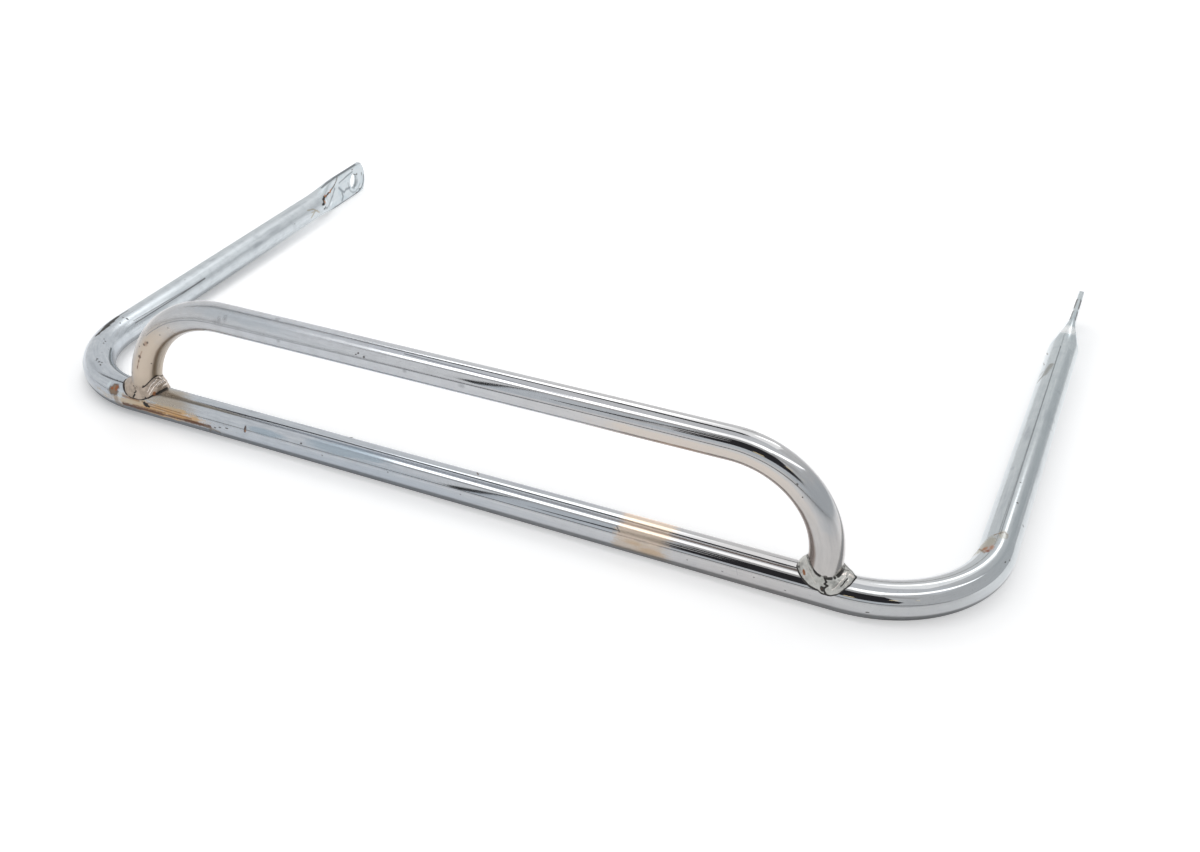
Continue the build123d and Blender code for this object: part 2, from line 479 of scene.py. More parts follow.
class Nodes:
    """A node tree that is built node by node."""

    def __init__(self, tree):
        self.tree = tree
        self.tree.nodes.clear()

    def add(self, kind, settings=None, *values, output=0, **named):
        """Adds a node: its settings first, then its sockets in order or by name. Gives one output."""
        node = self.tree.nodes.new(kind)
        for key, value in (settings or {}).items():
            setattr(node, key, value)
        for key, value in [*enumerate(values), *named.items()]:
            socket = node.inputs[key.replace("_", " ") if isinstance(key, str) else key]
            if isinstance(value, Value):
                self.tree.links.new(value.socket, socket)
            elif value is not None:
                socket.default_value = value
        return Value(self, node.outputs[output]) if node.outputs else None

    def blend(self, share, first, second):
        """Goes from the first colour to the second by share."""
        colours = [c if isinstance(c, Value) else (*c, 1.0) for c in (first, second)]
        return self.add("ShaderNodeMix", {"data_type": "RGBA"}, share, *[None] * 5, *colours, output=2)

    def step(self, value, start, end):
        """0 where the value is at start, 1 at end, smooth between."""
        return self.add("ShaderNodeMapRange", {"interpolation_type": "SMOOTHSTEP"}, value, start, end, 0.0,
                        1.0)

    def grain(self, place, scale, detail=3.0, rough=0.55):
        """Cloudy noise from 0 to 1, about 0.5."""
        return self.add("ShaderNodeTexNoise", None, place, Scale=scale, Detail=detail, Roughness=rough)

    def part(self, vector, axis):
        """One number of a vector: axis is 0, 1 or 2."""
        return self.add("ShaderNodeSeparateXYZ", None, vector, output=axis)


class Finish(Nodes):
    """A material that is built node by node."""

    def __init__(self, name):
        self.material = bpy.data.materials.new(name)
        self.material.use_nodes = True
        super().__init__(self.material.node_tree)

    def close(self, colour, roughness, metallic=1.0, normal=None):
        """Ends the material in one shader."""
        shader = self.add("ShaderNodeBsdfPrincipled", None, Base_Color=colour, Roughness=roughness,
                          Metallic=metallic, Normal=normal)
        self.add("ShaderNodeOutputMaterial", None, shader)
        return self.material


def mark_group(name, numbers, distance):
    """A node group for one kind of mark. It lays the mark's mask over the mask under it.

    Place is (mm along, mm round) and Noise is (ragged, cloudy, streaky), each about 0.5. The distance that the
    given function works out is 1 at the mark's edge.
    """
    tree = bpy.data.node_groups.new(name, "ShaderNodeTree")
    sockets = [("Place", "Vector"), ("Noise", "Vector"), ("Under", "Float")]
    for label, kind in [*sockets, *[(number, "Float") for number in [*numbers, "Ragged", "Cloudy", "Streaky",
                                                                     "Soft"]]]:
        tree.interface.new_socket(label, in_out="INPUT", socket_type="NodeSocket" + kind)
    tree.interface.new_socket("Mask", in_out="OUTPUT", socket_type="NodeSocketFloat")
    group = Nodes(tree)
    inputs = tree.nodes.new("NodeGroupInput").outputs
    given = {socket.name: Value(group, socket) for socket in inputs if socket.name}
    far = distance(group, group.part(given["Place"], 0), group.part(given["Place"], 1), given)
    for axis, label in enumerate(("Ragged", "Cloudy", "Streaky")):
        far = far + (group.part(given["Noise"], axis) - 0.5) * 2.0 * given[label]
    mask = group.step(far, given["Soft"] + 1.0, 1.0 - given["Soft"])
    group.add("NodeGroupOutput", None, mask.math("MAXIMUM", given["Under"]))
    return tree


def spot_distance(group, along, around, given):
    """How far out of an oval a place is: half sizes Long and Round, leaning by Lean along per mm round."""
    across = around - given["Around"]
    beside = along - given["Along"] - across * given["Lean"]
    beside = beside / given["Long"]
    across = across / given["Round"]
    return (beside * beside + across * across).math("SQRT")


def streak_distance(group, along, around, given):
    """How far a place is from a straight line of half width Width."""
    beside = along - given["Along"]
    across = around - given["Around"]
    share = (beside * given["Share along"] + across * given["Share around"]).math("ADD", 0.0, clamp=True)
    beside = beside - share * given["Length along"]
    across = across - share * given["Length around"]
    return (beside * beside + across * across).math("SQRT") / given["Width"]


SPOT = mark_group("spot", ["Along", "Around", "Long", "Round", "Lean"], spot_distance)
STREAK = mark_group("streak", ["Along", "Around", "Share along", "Share around", "Length along",
                               "Length around",
                               "Width"], streak_distance)


# Marks that follow the tubes

class TubeFinish(Finish):
    """A finish that knows its place on a tube: run in mm along it, and turn in degrees round it."""

    def __init__(self, name, radius_mm):
        super().__init__(name)
        self.arc = radius_mm * pi / 180
        self.place = self.add("ShaderNodeTexCoord", output=3)
        flat = self.add("ShaderNodeUVMap", {"uv_map": "tube_map"})
        self.run = self.part(flat, 0) * 1000.0
        self.turn = (self.part(flat, 1) - 0.5) * 360.0
        turn = self.turn * (pi / 180)
        self.drawn = self.add("ShaderNodeCombineXYZ", None, self.run * 0.0001,
                              turn.math("COSINE") * (radius_mm * MM), turn.math("SINE") * (radius_mm * MM))
        self.ragged = self.grain(self.place, 1100.0, 4.0, 0.65)
        self.cloudy = self.grain(self.place, 170.0, 4.0, 0.6)
        self.streaky = self.grain(self.drawn, 900.0, 3.0, 0.6)
        self.flat = self.add("ShaderNodeCombineXYZ", None, self.run, self.turn * self.arc)
        self.noise = self.add("ShaderNodeCombineXYZ", None, self.ragged, self.cloudy, self.streaky)

    def spots(self, rows, ragged=0.5, soft=0.3, cloudy=0.0, streaky=0.0, under=None):
        """1 inside any of some ovals: run, turn, half sizes in mm along and round, and perhaps a lean."""
        for run, turn, long, round_mm, *lean in rows:
            under = self.add("ShaderNodeGroup", {"node_tree": SPOT}, self.flat, self.noise, under, Along=run,
                             Around=turn * self.arc, Long=long, Round=round_mm, Lean=lean[0] if lean else 0.0,
                             Ragged=ragged, Cloudy=cloudy, Streaky=streaky, Soft=soft)
        return under

    def streaks(self, rows, ragged=0.4, soft=0.4, under=None):
        """1 on any of some thin lines: run and turn of both ends, and the half width in mm."""
        for run_a, turn_a, run_b, turn_b, width in rows:
            long, up = run_b - run_a, (turn_b - turn_a) * self.arc
            size = long * long + up * up
            under = self.add("ShaderNodeGroup", {"node_tree": STREAK}, self.flat, self.noise, under,
                             Along=run_a,
                             Around=turn_a * self.arc, Share_along=long / size, Share_around=up / size,
                             Length_along=long, Length_around=up, Width=width, Ragged=ragged, Soft=soft)
        return under

    def zones(self, value, stops):
        """Reads a colour or a grey from stops of (place, colour), with value from 0 to 1."""
        node = self.tree.nodes.new("ShaderNodeValToRGB")
        ramp = node.color_ramp
        ramp.interpolation = "EASE"
        while len(ramp.elements) < len(stops):
            ramp.elements.new(1.0)
        for element, (position, _) in zip(ramp.elements, stops):
            element.position = position
        for element, (_, colour) in zip(ramp.elements, stops):
            element.color = (*colour, 1.0) if isinstance(colour, tuple) else (colour, colour, colour, 1.0)
        self.tree.links.new(value.socket, node.inputs[0])
        return Value(self, node.outputs[0])


RUST_ORANGE = (0.40, 0.15, 0.05)
SOOT = (0.02, 0.018, 0.017)


class Layers:
    """Colour, roughness and metal that build up from films and marks laid over one another."""

    def __init__(self, finish, colour, rough, metal=1.0):
        self.finish, self.colour, self.rough, self.metal = finish, colour, rough, metal

    def lay(self, mask, colour, rough, metal, strength=1.0):
        """Lays one film or mark over what is there."""
        share = mask * strength if strength != 1.0 else mask
        self.colour = self.finish.blend(share, self.colour, colour)
        self.rough = self.rough + share * (rough - self.rough)
        self.metal = self.metal + share * (metal - self.metal)


def plain_plate(name):
    """The main tube's plate without its marks: matt on the arms, hazed on the left, bright on the right."""
    f = TubeFinish(name, TUBE_R / MM)
    whole = f.run / (2 * HALF_RUN / MM)
    colour = f.zones(whole, [
        (0.00, (0.58, 0.62, 0.645)), (0.22, (0.56, 0.60, 0.625)), (0.30, (0.49, 0.525, 0.565)),
        (0.46, (0.50, 0.53, 0.57)), (0.56, (0.54, 0.555, 0.575)), (0.64, (0.54, 0.53, 0.53)),
        (0.69, (0.54, 0.55, 0.56)),
        (0.75, (0.50, 0.535, 0.555)), (1.00, (0.52, 0.57, 0.59))])
    rough = f.zones(whole, [(0.0, 0.40), (0.20, 0.37), (0.27, 0.25), (0.32, 0.14), (0.40, 0.10), (0.46, 0.08),
                            (0.50, 0.055), (0.70, 0.05), (0.76, 0.12), (0.82, 0.17), (1.0, 0.17)])
    hazed = f.step(f.run, 560, 380) + f.step(f.run, 760, 820) * 0.6
    f.hazed = hazed
    colour = f.blend(f.step(f.cloudy, 0.42, 0.66) * (hazed * 0.16 + 0.08), colour, (0.34, 0.37, 0.40))
    colour = f.blend(f.step(f.streaky, 0.46, 0.72) * (hazed * 0.14 + 0.10), colour, (0.70, 0.72, 0.74))
    colour = f.blend(f.step(f.streaky, 0.48, 0.26) * (hazed * 0.16 + 0.12), colour, (0.30, 0.33, 0.36))
    colour = f.blend(f.step(f.ragged, 0.58, 0.70) * 0.16, colour, (0.22, 0.24, 0.26))
    rough = rough + (f.streaky + f.cloudy - 1.0) * (hazed * 0.055 + 0.02)
    skin = Layers(f, colour, rough)
    smear = f.streaks([(74, -100, 80, -68, 0.5), (80, -68, 86, -58, 0.4), (84, -100, 79, -80, 0.6),
                       (76, -84, 83, -78, 0.35)], 0.7, 0.7)
    skin.lay(smear, (0.34, 0.28, 0.17), 0.4, 0.6, 0.6)
    return f, skin


def relief_of(f):
    """Ripples left by bending, and fine drawing lines."""
    level = f.grain(f.place, 60.0, 2.0, 0.5) * 0.35 + f.streaky * 0.03 + f.ragged * 0.012
    return f.add("ShaderNodeBump", None, Strength=f.hazed * 0.08 + 0.045, Distance=0.0006, Height=level)


def main_plate():
    """The main tube's plate, with its haze, stains, rust and pits, and some painted reflections, highlights
    and shade.
    """
    f, skin = plain_plate("main_tube_plate")

    # Faint grey smudges
    smudges = [(145, -65, 4, 1.6), (125, -50, 7, 1.5), (142, -30, 2, 1.4), (183, -12, 3, 1.1),
               (96, -12, 12, 1.2),
               (224, -48, 9, 0.8), (316, 28, 6, 1.0), (418, -12, 3, 1.6), (450, -15, 11, 0.6),
               (585, -20, 4, 1.2),
               (552, 22, 5, 0.7), (590, 22, 6, 0.6), (840, -38, 1.2, 0.8), (893, 20, 5, 2.0),
               (872, -25, 6, 1.5),
               (845, 50, 8, 1.4), (885, 44, 1.0, 1.6), (893, 44, 1.6, 1.8), (921, 32, 1.2, 1.4)]
    skin.lay(f.spots(smudges, 0.5, 0.7, cloudy=0.6, streaky=0.3), (0.30, 0.33, 0.36), 0.3, 1.0, 0.36)

    skin.lay(f.spots([(570, -18, 26, 1.9)], 0.3, 0.8, 0.8, 0.6), (0.36, 0.38, 0.43), 0.2, 1.0, 0.5)

    # Blue-grey haze patches on the left half of the front run
    haze = f.spots([(431, 55, 11, 1.5), (475, 43, 21, 2.7, -1.5)], 0.25, 0.35, cloudy=0.35, streaky=0.3)
    skin.lay(haze, (0.32, 0.405, 0.475), 0.32, 0.95, 0.62)
    skin.lay(f.spots([(492, 88, 60, 2.0), (500, 62, 18, 1.0)], 0.2, 0.8, 0.6, 0.8), (0.38, 0.44, 0.50), 0.26,
             1.0, 0.34)

    # Tan film round the tube near the middle of the right half; its lower side is a darker copy of the film's
    # tint, painted shade
    drift = (f.cloudy - 0.5) * 9 + (f.ragged - 0.5) * 3
    film = f.step(f.run + drift + (f.streaky - 0.5) * 6, 606.5, 610)
    film = film * f.step(f.run + drift + (f.streaky - 0.5) * 12, 634, 627)
    skin.lay(film * f.step(f.turn + (f.cloudy - 0.5) * 30, 76, 60), (0.84, 0.68, 0.54), 0.17, 0.72, 0.9)
    # Painted shade: the film's lower side in a darker copy of its tint
    lower = film * f.step(f.turn + (f.cloudy - 0.5) * 30, 60, 72) * f.step(f.turn, 124, 102)
    skin.lay(lower, (0.56, 0.46, 0.36), 0.24, 0.9, 0.66)
    skin.lay(f.spots([(624, 92, 6, 1.5), (617, 78, 4, 1.1)], 0.4, 0.8, 0.8, 0.6), (0.56, 0.40, 0.25), 0.3,
             0.8, 0.6)
    skin.lay(f.streaks([(607.8, 41, 609.6, 56, 0.22)]), (0.12, 0.12, 0.13), 0.3, 0.8, 0.5)

    # Stain under and beside the left weld
    beige = f.spots([(372, 14, 9, 5.6), (373, 46, 14, 2.9)], 0.3, 0.7, cloudy=0.5, streaky=0.3)
    skin.lay(beige, (0.40, 0.345, 0.275), 0.3, 0.85, 0.85)
    stain = f.spots([(367, 84, 26, 2.3, -1.0), (354, 80, 11, 3.0), (377, 68, 12, 1.3)], 0.6, 0.6, 0.9, 1.2)
    skin.lay(stain, (0.63, 0.50, 0.34), 0.42, 0.5, 0.86)
    glow = f.spots([(378, 82, 15, 1.7, -1.2), (368, 97, 9, 1.3), (388, 89, 8, 0.9)], 0.6, 0.9, 0.9, 1.5)
    skin.lay(glow, (0.74, 0.44, 0.17), 0.5, 0.3, 0.86)
    veins = f.streaks([(352, 89, 372, 87, 0.4), (362, 76, 388, 80, 0.35), (374, 90, 392, 88, 0.45),
                       (358, 68, 382, 70, 0.25), (346, 66, 356, 68, 0.5)], 1.0, 0.8)
    skin.lay(veins, (0.30, 0.14, 0.06), 0.5, 0.3, 0.66)
    seam = f.streaks([(346, 97, 356, 98, 1.0), (356, 97, 370, 95.5, 0.8), (370, 95, 386, 94, 0.4),
                      (384, 93, 399, 91, 0.9)], 0.8, 0.6)
    skin.lay(seam, (0.13, 0.05, 0.025), 0.5, 0.2, 0.9)
    under = f.streaks([(396, 92, 404, 104, 0.7), (398, 112, 399, 100, 0.8)], 0.8, 0.6)
    skin.lay(under, (0.25, 0.20, 0.15), 0.4, 0.6, 0.6)

    # Rust blob left of the left weld, with a trail that runs under, and pale painted highlights beside it
    trail = f.spots([(342, 92, 1.3, 3.4), (343.5, 112, 1.1, 2.5)], 0.5, 0.5, streaky=0.3)
    skin.lay(trail, (0.34, 0.27, 0.21), 0.45, 0.5, 0.65)
    blob = f.spots([(340.6, 44, 2.1, 1.7), (340.0, 60, 2.8, 2.2)], 0.6, 0.3, 0.2)
    skin.lay(blob, (0.085, 0.05, 0.032), 0.7, 0.0, 0.9)
    core = f.spots([(340.4, 46, 1.7, 1.3), (340.0, 60, 2.3, 1.8)], 0.6, 0.5, 0.2)
    skin.lay(core, (0.36, 0.25, 0.17), 0.7, 0.0, 0.9)
    skin.lay(f.spots([(341.4, 46, 0.9, 1.5), (339, 53, 0.9, 0.7)], 0.8, 0.5), (0.42, 0.13, 0.045), 0.75, 0.0,
             0.9)
    # Painted highlights: pale bluish spots beside the rust blob
    skin.lay(f.spots([(344.2, 66, 1.1, 1.7), (336.2, 44, 0.8, 1.6)], 0.6, 0.6), (0.66, 0.74, 0.78), 0.35, 0.8,
             0.7)

    # Rust patch inside the right bend
    patch = f.spots([(777, -34, 6.5, 3.8, 1.1), (786, 2, 2.8, 1.8)], 0.3, 0.3, cloudy=0.6)
    skin.lay(patch, (0.36, 0.33, 0.26), 0.36, 0.7, 0.75)
    rim = f.streaks([(770, -22, 775, -55, 0.4), (785, -22, 788, 4, 0.35), (788, 4, 787, 12, 0.35)], 0.8, 0.5)
    skin.lay(rim, (0.20, 0.13, 0.07), 0.5, 0.4, 0.7)
    skin.lay(f.spots([(775, -14, 1.9, 0.9), (773.5, -30, 1.6, 1.1), (772, -21, 1.2, 0.9)], 0.6, 0.6),
             RUST_ORANGE,
             0.7, 0.1, 0.75)
    skin.lay(f.spots([(772, -16, 1.2, 0.6)], 0.6, 0.5), (0.26, 0.09, 0.05), 0.7, 0.0, 0.75)

    # Smears on the right arm
    smear = f.streaks([(931, -62, 937, -38, 0.7), (937, -38, 948, -24, 1.3), (938, -62, 942, -50, 0.35),
                       (951, -56, 956, -68, 0.35), (964, -56, 971, -76, 0.4), (933, -50, 941, -30, 0.3)], 0.6,
                       0.6)
    skin.lay(smear, (0.21, 0.20, 0.17), 0.4, 0.6, 0.66)

    # The right arm's painted reflection: its light and dark bands along it and its long thin dark line
    skin.lay(f.spots([(900, 26, 90, 1.7), (820, 27, 50, 1.3)], 0.1, 0.3, 0.2, 0.2), (0.37, 0.42, 0.44), 0.2,
             1.0, 0.5)
    skin.lay(f.spots([(815, 5, 46, 1.1)], 0.2, 0.7, 0.4, 0.5), (0.70, 0.74, 0.76), 0.2, 0.9, 0.45)
    skin.lay(f.streaks([(786, -6.5, 860, -9, 0.17), (860, -9, 982, -12.5, 0.19)], 0.3, 0.6),
             (0.13, 0.15, 0.16), 0.25,
             0.9, 0.72)

    # Scuffs on the left bend, and dark lines on the left arm that are a painted reflection
    scuffs = [(265, 8, 273, 4, 0.7), (270, 2, 277, 8, 0.85), (275, 1, 281, 7, 0.8), (275, 12, 285, 10, 0.5),
              (280, 6, 286, 18, 0.75), (257, 10, 268, 12, 0.35), (264, 14, 276, 16, 0.45),
              (268, 8, 278, 12, 0.6)]
    skin.lay(f.streaks(scuffs, 0.7, 0.3), (0.02, 0.015, 0.012), 0.6, 0.0, 0.95)
    # Painted reflection: dark lines along the left arm's inner side
    lines = [(200, -61, 222, -62, 0.40), (222, -62, 262, -59, 0.26), (205, -62, 262, -48, 0.18)]
    skin.lay(f.streaks(lines, 0.5, 0.5), (0.10, 0.10, 0.105), 0.4, 0.6, 0.75)
    fold = [(296, -54, 306, -50, 0.5), (306, -50, 322, -32, 0.62), (322, -32, 344, -13, 0.42)]
    skin.lay(f.streaks(fold, 0.3, 0.55), (0.06, 0.08, 0.085), 0.3, 0.8, 0.82)

    # Pits, specks and nicks
    pits = [(264, -28, 0.6, 0.8), (270, -25, 0.5, 0.4), (264.5, -12, 0.5, 0.5), (292, -27, 0.5, 0.5),
            (294.5, -23, 0.6, 0.4), (290, -19, 0.4, 0.4), (313, 3, 0.8, 0.5), (316.5, 2, 0.7, 0.6),
            (320, 5, 0.9, 0.4),
            (318, -4, 0.5, 0.5), (314, 8, 0.5, 0.3), (451, 58, 0.5, 0.45), (472, -28, 0.7, 1.6),
            (405, 82, 0.8, 0.3),
            (409, 78, 0.9, 0.3), (402, 88, 0.6, 0.4), (712, 95, 0.7, 0.3), (772, 42, 0.6, 0.3),
            (775, 50, 0.4, 0.4),
            (812, 12, 0.5, 0.5), (828, 2, 0.4, 0.4), (801, 55, 0.4, 0.7), (1000, 20, 0.6, 0.4)]
    skin.lay(f.spots(pits, 0.5, 0.35), (0.05, 0.045, 0.04), 0.5, 0.3, 0.78)
    specks = [(655, 88, 0.45, 0.25), (668, 78, 0.35, 0.25), (681, 92, 0.45, 0.25), (535, 78, 0.35, 0.25),
              (640, 82, 0.3, 0.25), (300, -45, 0.4, 0.3), (306, -20, 0.3, 0.4), (463, 78, 0.5, 0.3),
              (498, 72, 0.4, 0.3), (212, -20, 0.5, 0.3), (60, -40, 0.6, 0.3), (104, -78, 0.5, 0.4)]
    skin.lay(f.spots(specks, 0.5, 0.5), (0.10, 0.10, 0.10), 0.5, 0.5, 0.55)
    nicks = f.streaks([(538, -18, 539.5, -6, 0.34)], under=f.spots([(419.5, 62, 0.6, 1.6)], 0.6, 0.4))
    skin.lay(nicks, (0.09, 0.05, 0.03), 0.6, 0.1, 0.85)
    skin.lay(f.spots([(419.8, 68, 0.45, 0.45)], 0.5, 0.5), RUST_ORANGE, 0.7, 0.0, 0.8)
    skin.lay(f.spots([(360.6, 76, 1.6, 1.0), (359.4, 70, 0.8, 0.7), (362, 79, 0.9, 0.6)], 0.6, 0.2), SOOT,
             0.6, 0.0, 1.0)
    skin.lay(f.streaks([(660, 60, 661.5, 86, 0.10)], 0.3), (0.3, 0.31, 0.33), 0.3, 1.0, 0.4)

    return f.close(skin.colour, skin.rough, skin.metal, relief_of(f))


def blade_plate_finish():
    """The pressed ends' plate: dulled, with cracks, creases and rust on the left blade's inner face, and
    painted shade and highlights along the blades' edges and creases.

    The blade map is metres along the arm and up, plus 1 for the left outer face, 2 for the right inner one and
    3 for the right outer one.
    """
    f, skin = plain_plate("pressed_end_plate")
    pressed = f.step(f.run, 74, 50) + f.step(f.run, 973, 997)
    flat = f.add("ShaderNodeUVMap", {"uv_map": "blade_map"})
    f.flat = f.add("ShaderNodeCombineXYZ", None, f.part(flat, 0) * 1000.0, f.part(flat, 1) * 1000.0)
    f.arc = 1.0
    skin.lay(pressed * f.step(f.cloudy, 0.40, 0.62), (0.64, 0.70, 0.725), 0.34, 1.0, 0.35)
    skin.lay(pressed * f.step(f.cloudy, 0.52, 0.40), (0.44, 0.52, 0.56), 0.30, 1.0, 0.5)
    ring = f.streaks(polyline(WASHER_RING, 0.6), 0.5, 0.8)
    skin.lay(ring, (0.26, 0.29, 0.31), 0.4, 0.9, 0.6)
    # Painted shade: dark lines along the left blade's top and bottom edges
    rims = f.streaks([*polyline(TOP_EDGE, 0.35), *polyline(LOW_EDGE, 0.62)], 0.4, 0.6)
    skin.lay(rims, (0.10, 0.11, 0.12), 0.35, 0.7, 0.8)
    # Painted shade: soft dark bands along the pressed creases and the ridge
    painted_crease_shade = f.streaks([*polyline(CREASE_TWO, 0.75), *polyline(CREASE_THREE, 0.85),
                       *polyline(CREASE_FOUR, 0.5),
                       *polyline(RIDGE, 0.8)], 0.5, 0.9)
    skin.lay(painted_crease_shade, (0.16, 0.185, 0.205), 0.4, 0.8, 0.75)
    # Painted highlights: pale flecks on the left blade's inner face, beside the crack
    skin.lay(f.spots([(247.6, 0.6, 0.7, 1.5), (252.8, 2.4, 0.5, 1.6), (264, -4.0, 3.0, 1.2)], 0.5, 0.6),
             (0.86, 0.92, 0.95), 0.3, 0.8, 0.7)
    crack = f.streaks(polyline(CRACK, 0.44), 0.7, 0.5)
    skin.lay(crack, (0.12, 0.075, 0.05), 0.6, 0.2, 0.85)
    black = f.streaks([*polyline(CRACK[:4], 0.85), (248.0, -1.5, 249.0, -0.5, 0.5),
                       (253.0, 5.0, 262.0, 4.9, 0.5)],
                      0.8, 0.3)
    skin.lay(black, (0.02, 0.015, 0.013), 0.7, 0.0, 0.97)
    glow = f.spots([(264.9, 4.8, 1.5, 1.0), (254.2, 5.3, 0.9, 0.9), (257.0, 4.9, 0.7, 0.5),
                    (262.6, 4.6, 0.7, 0.5),
                    (267.6, 5.2, 0.8, 0.4), (250.2, 2.6, 0.6, 1.2)], 0.6, 0.4)
    skin.lay(glow, (0.62, 0.24, 0.08), 0.75, 0.0, 0.92)
    skin.lay(f.spots([(302, -9.6, 1.4, 0.5), (306, -8.0, 0.8, 0.4), (299, 9.0, 1.4, 0.35),
                      (311, 2.0, 0.4, 1.4),
                      (304.5, 3.8, 0.7, 0.7)], 0.8, 0.5), (0.10, 0.07, 0.05), 0.6, 0.3, 0.8)
    # Painted highlight along the right blade's upper edge, and painted shade in dashes right at that edge
    skin.lay(f.spots([(2259, 8.6, 4.0, 1.6), (3259, 8.8, 4.0, 1.0)], 0.3, 0.6), (0.98, 1.0, 1.0), 0.3, 0.4,
             0.8)
    painted_edge_shade_dashes = f.streaks([(2270, 10.1, 2281, 10.3, 0.4), (2285, 10.3, 2298, 10.4, 0.4),
                        (3270, 10.1, 3281, 10.3, 0.4),
                        (3285, 10.3, 3298, 10.4, 0.4)], 0.7, 0.4)
    skin.lay(painted_edge_shade_dashes, (0.08, 0.07, 0.07), 0.5, 0.4, 0.85)
    return f.close(skin.colour, skin.rough, skin.metal, relief_of(f))


WASHER_RING = [(291.6, 1.5), (291.7, -2.0), (293.4, -5.2), (296.4, -7.4), (300.0, -8.2), (304.2, -7.2),
               (307.6, -4.8)]
CRACK = [(246.6, 2.1), (248.6, 2.0), (249.4, 4.1), (252.5, 5.2), (255.2, 4.6), (260.3, 5.3), (264.3, 4.0),
         (267.2, 4.7),
         (271.7, 5.2), (274.2, 6.3), (276.5, 8.3), (278.2, 10.1)]
CREASE_TWO = [(247.5, -1.0), (254.0, -3.0), (260.0, -1.6), (265.8, -0.6), (269.1, -0.1), (270.9, 1.6),
              (273.0, 3.6)]
CREASE_THREE = [(278.7, 2.1), (282.3, -1.5), (282.9, -5.7), (281.1, -8.1)]
CREASE_FOUR = [(279.9, 5.3), (281.4, 5.6), (289.6, 6.7), (298.8, 7.4)]
RIDGE = [(282.3, -1.5), (285.2, -3.4), (287.3, -2.0), (292.5, -2.5)]
# The paths of the painted shade along the left blade's top and bottom edges
TOP_EDGE = [(258.0, 9.3), (266.0, 10.2), (275.0, 10.7), (305.0, 10.7)]
LOW_EDGE = [(250.0, -8.4), (256.0, -8.8), (275.0, -10.0), (303.0, -10.1), (309.5, -8.0), (312.3, -5.0),
            (313.6, 0.0)]


def polyline(points, width):
    """The pieces of a broken line, each with the half width that is given."""
    return [(*points[i], *points[i + 1], width) for i in range(len(points) - 1)]


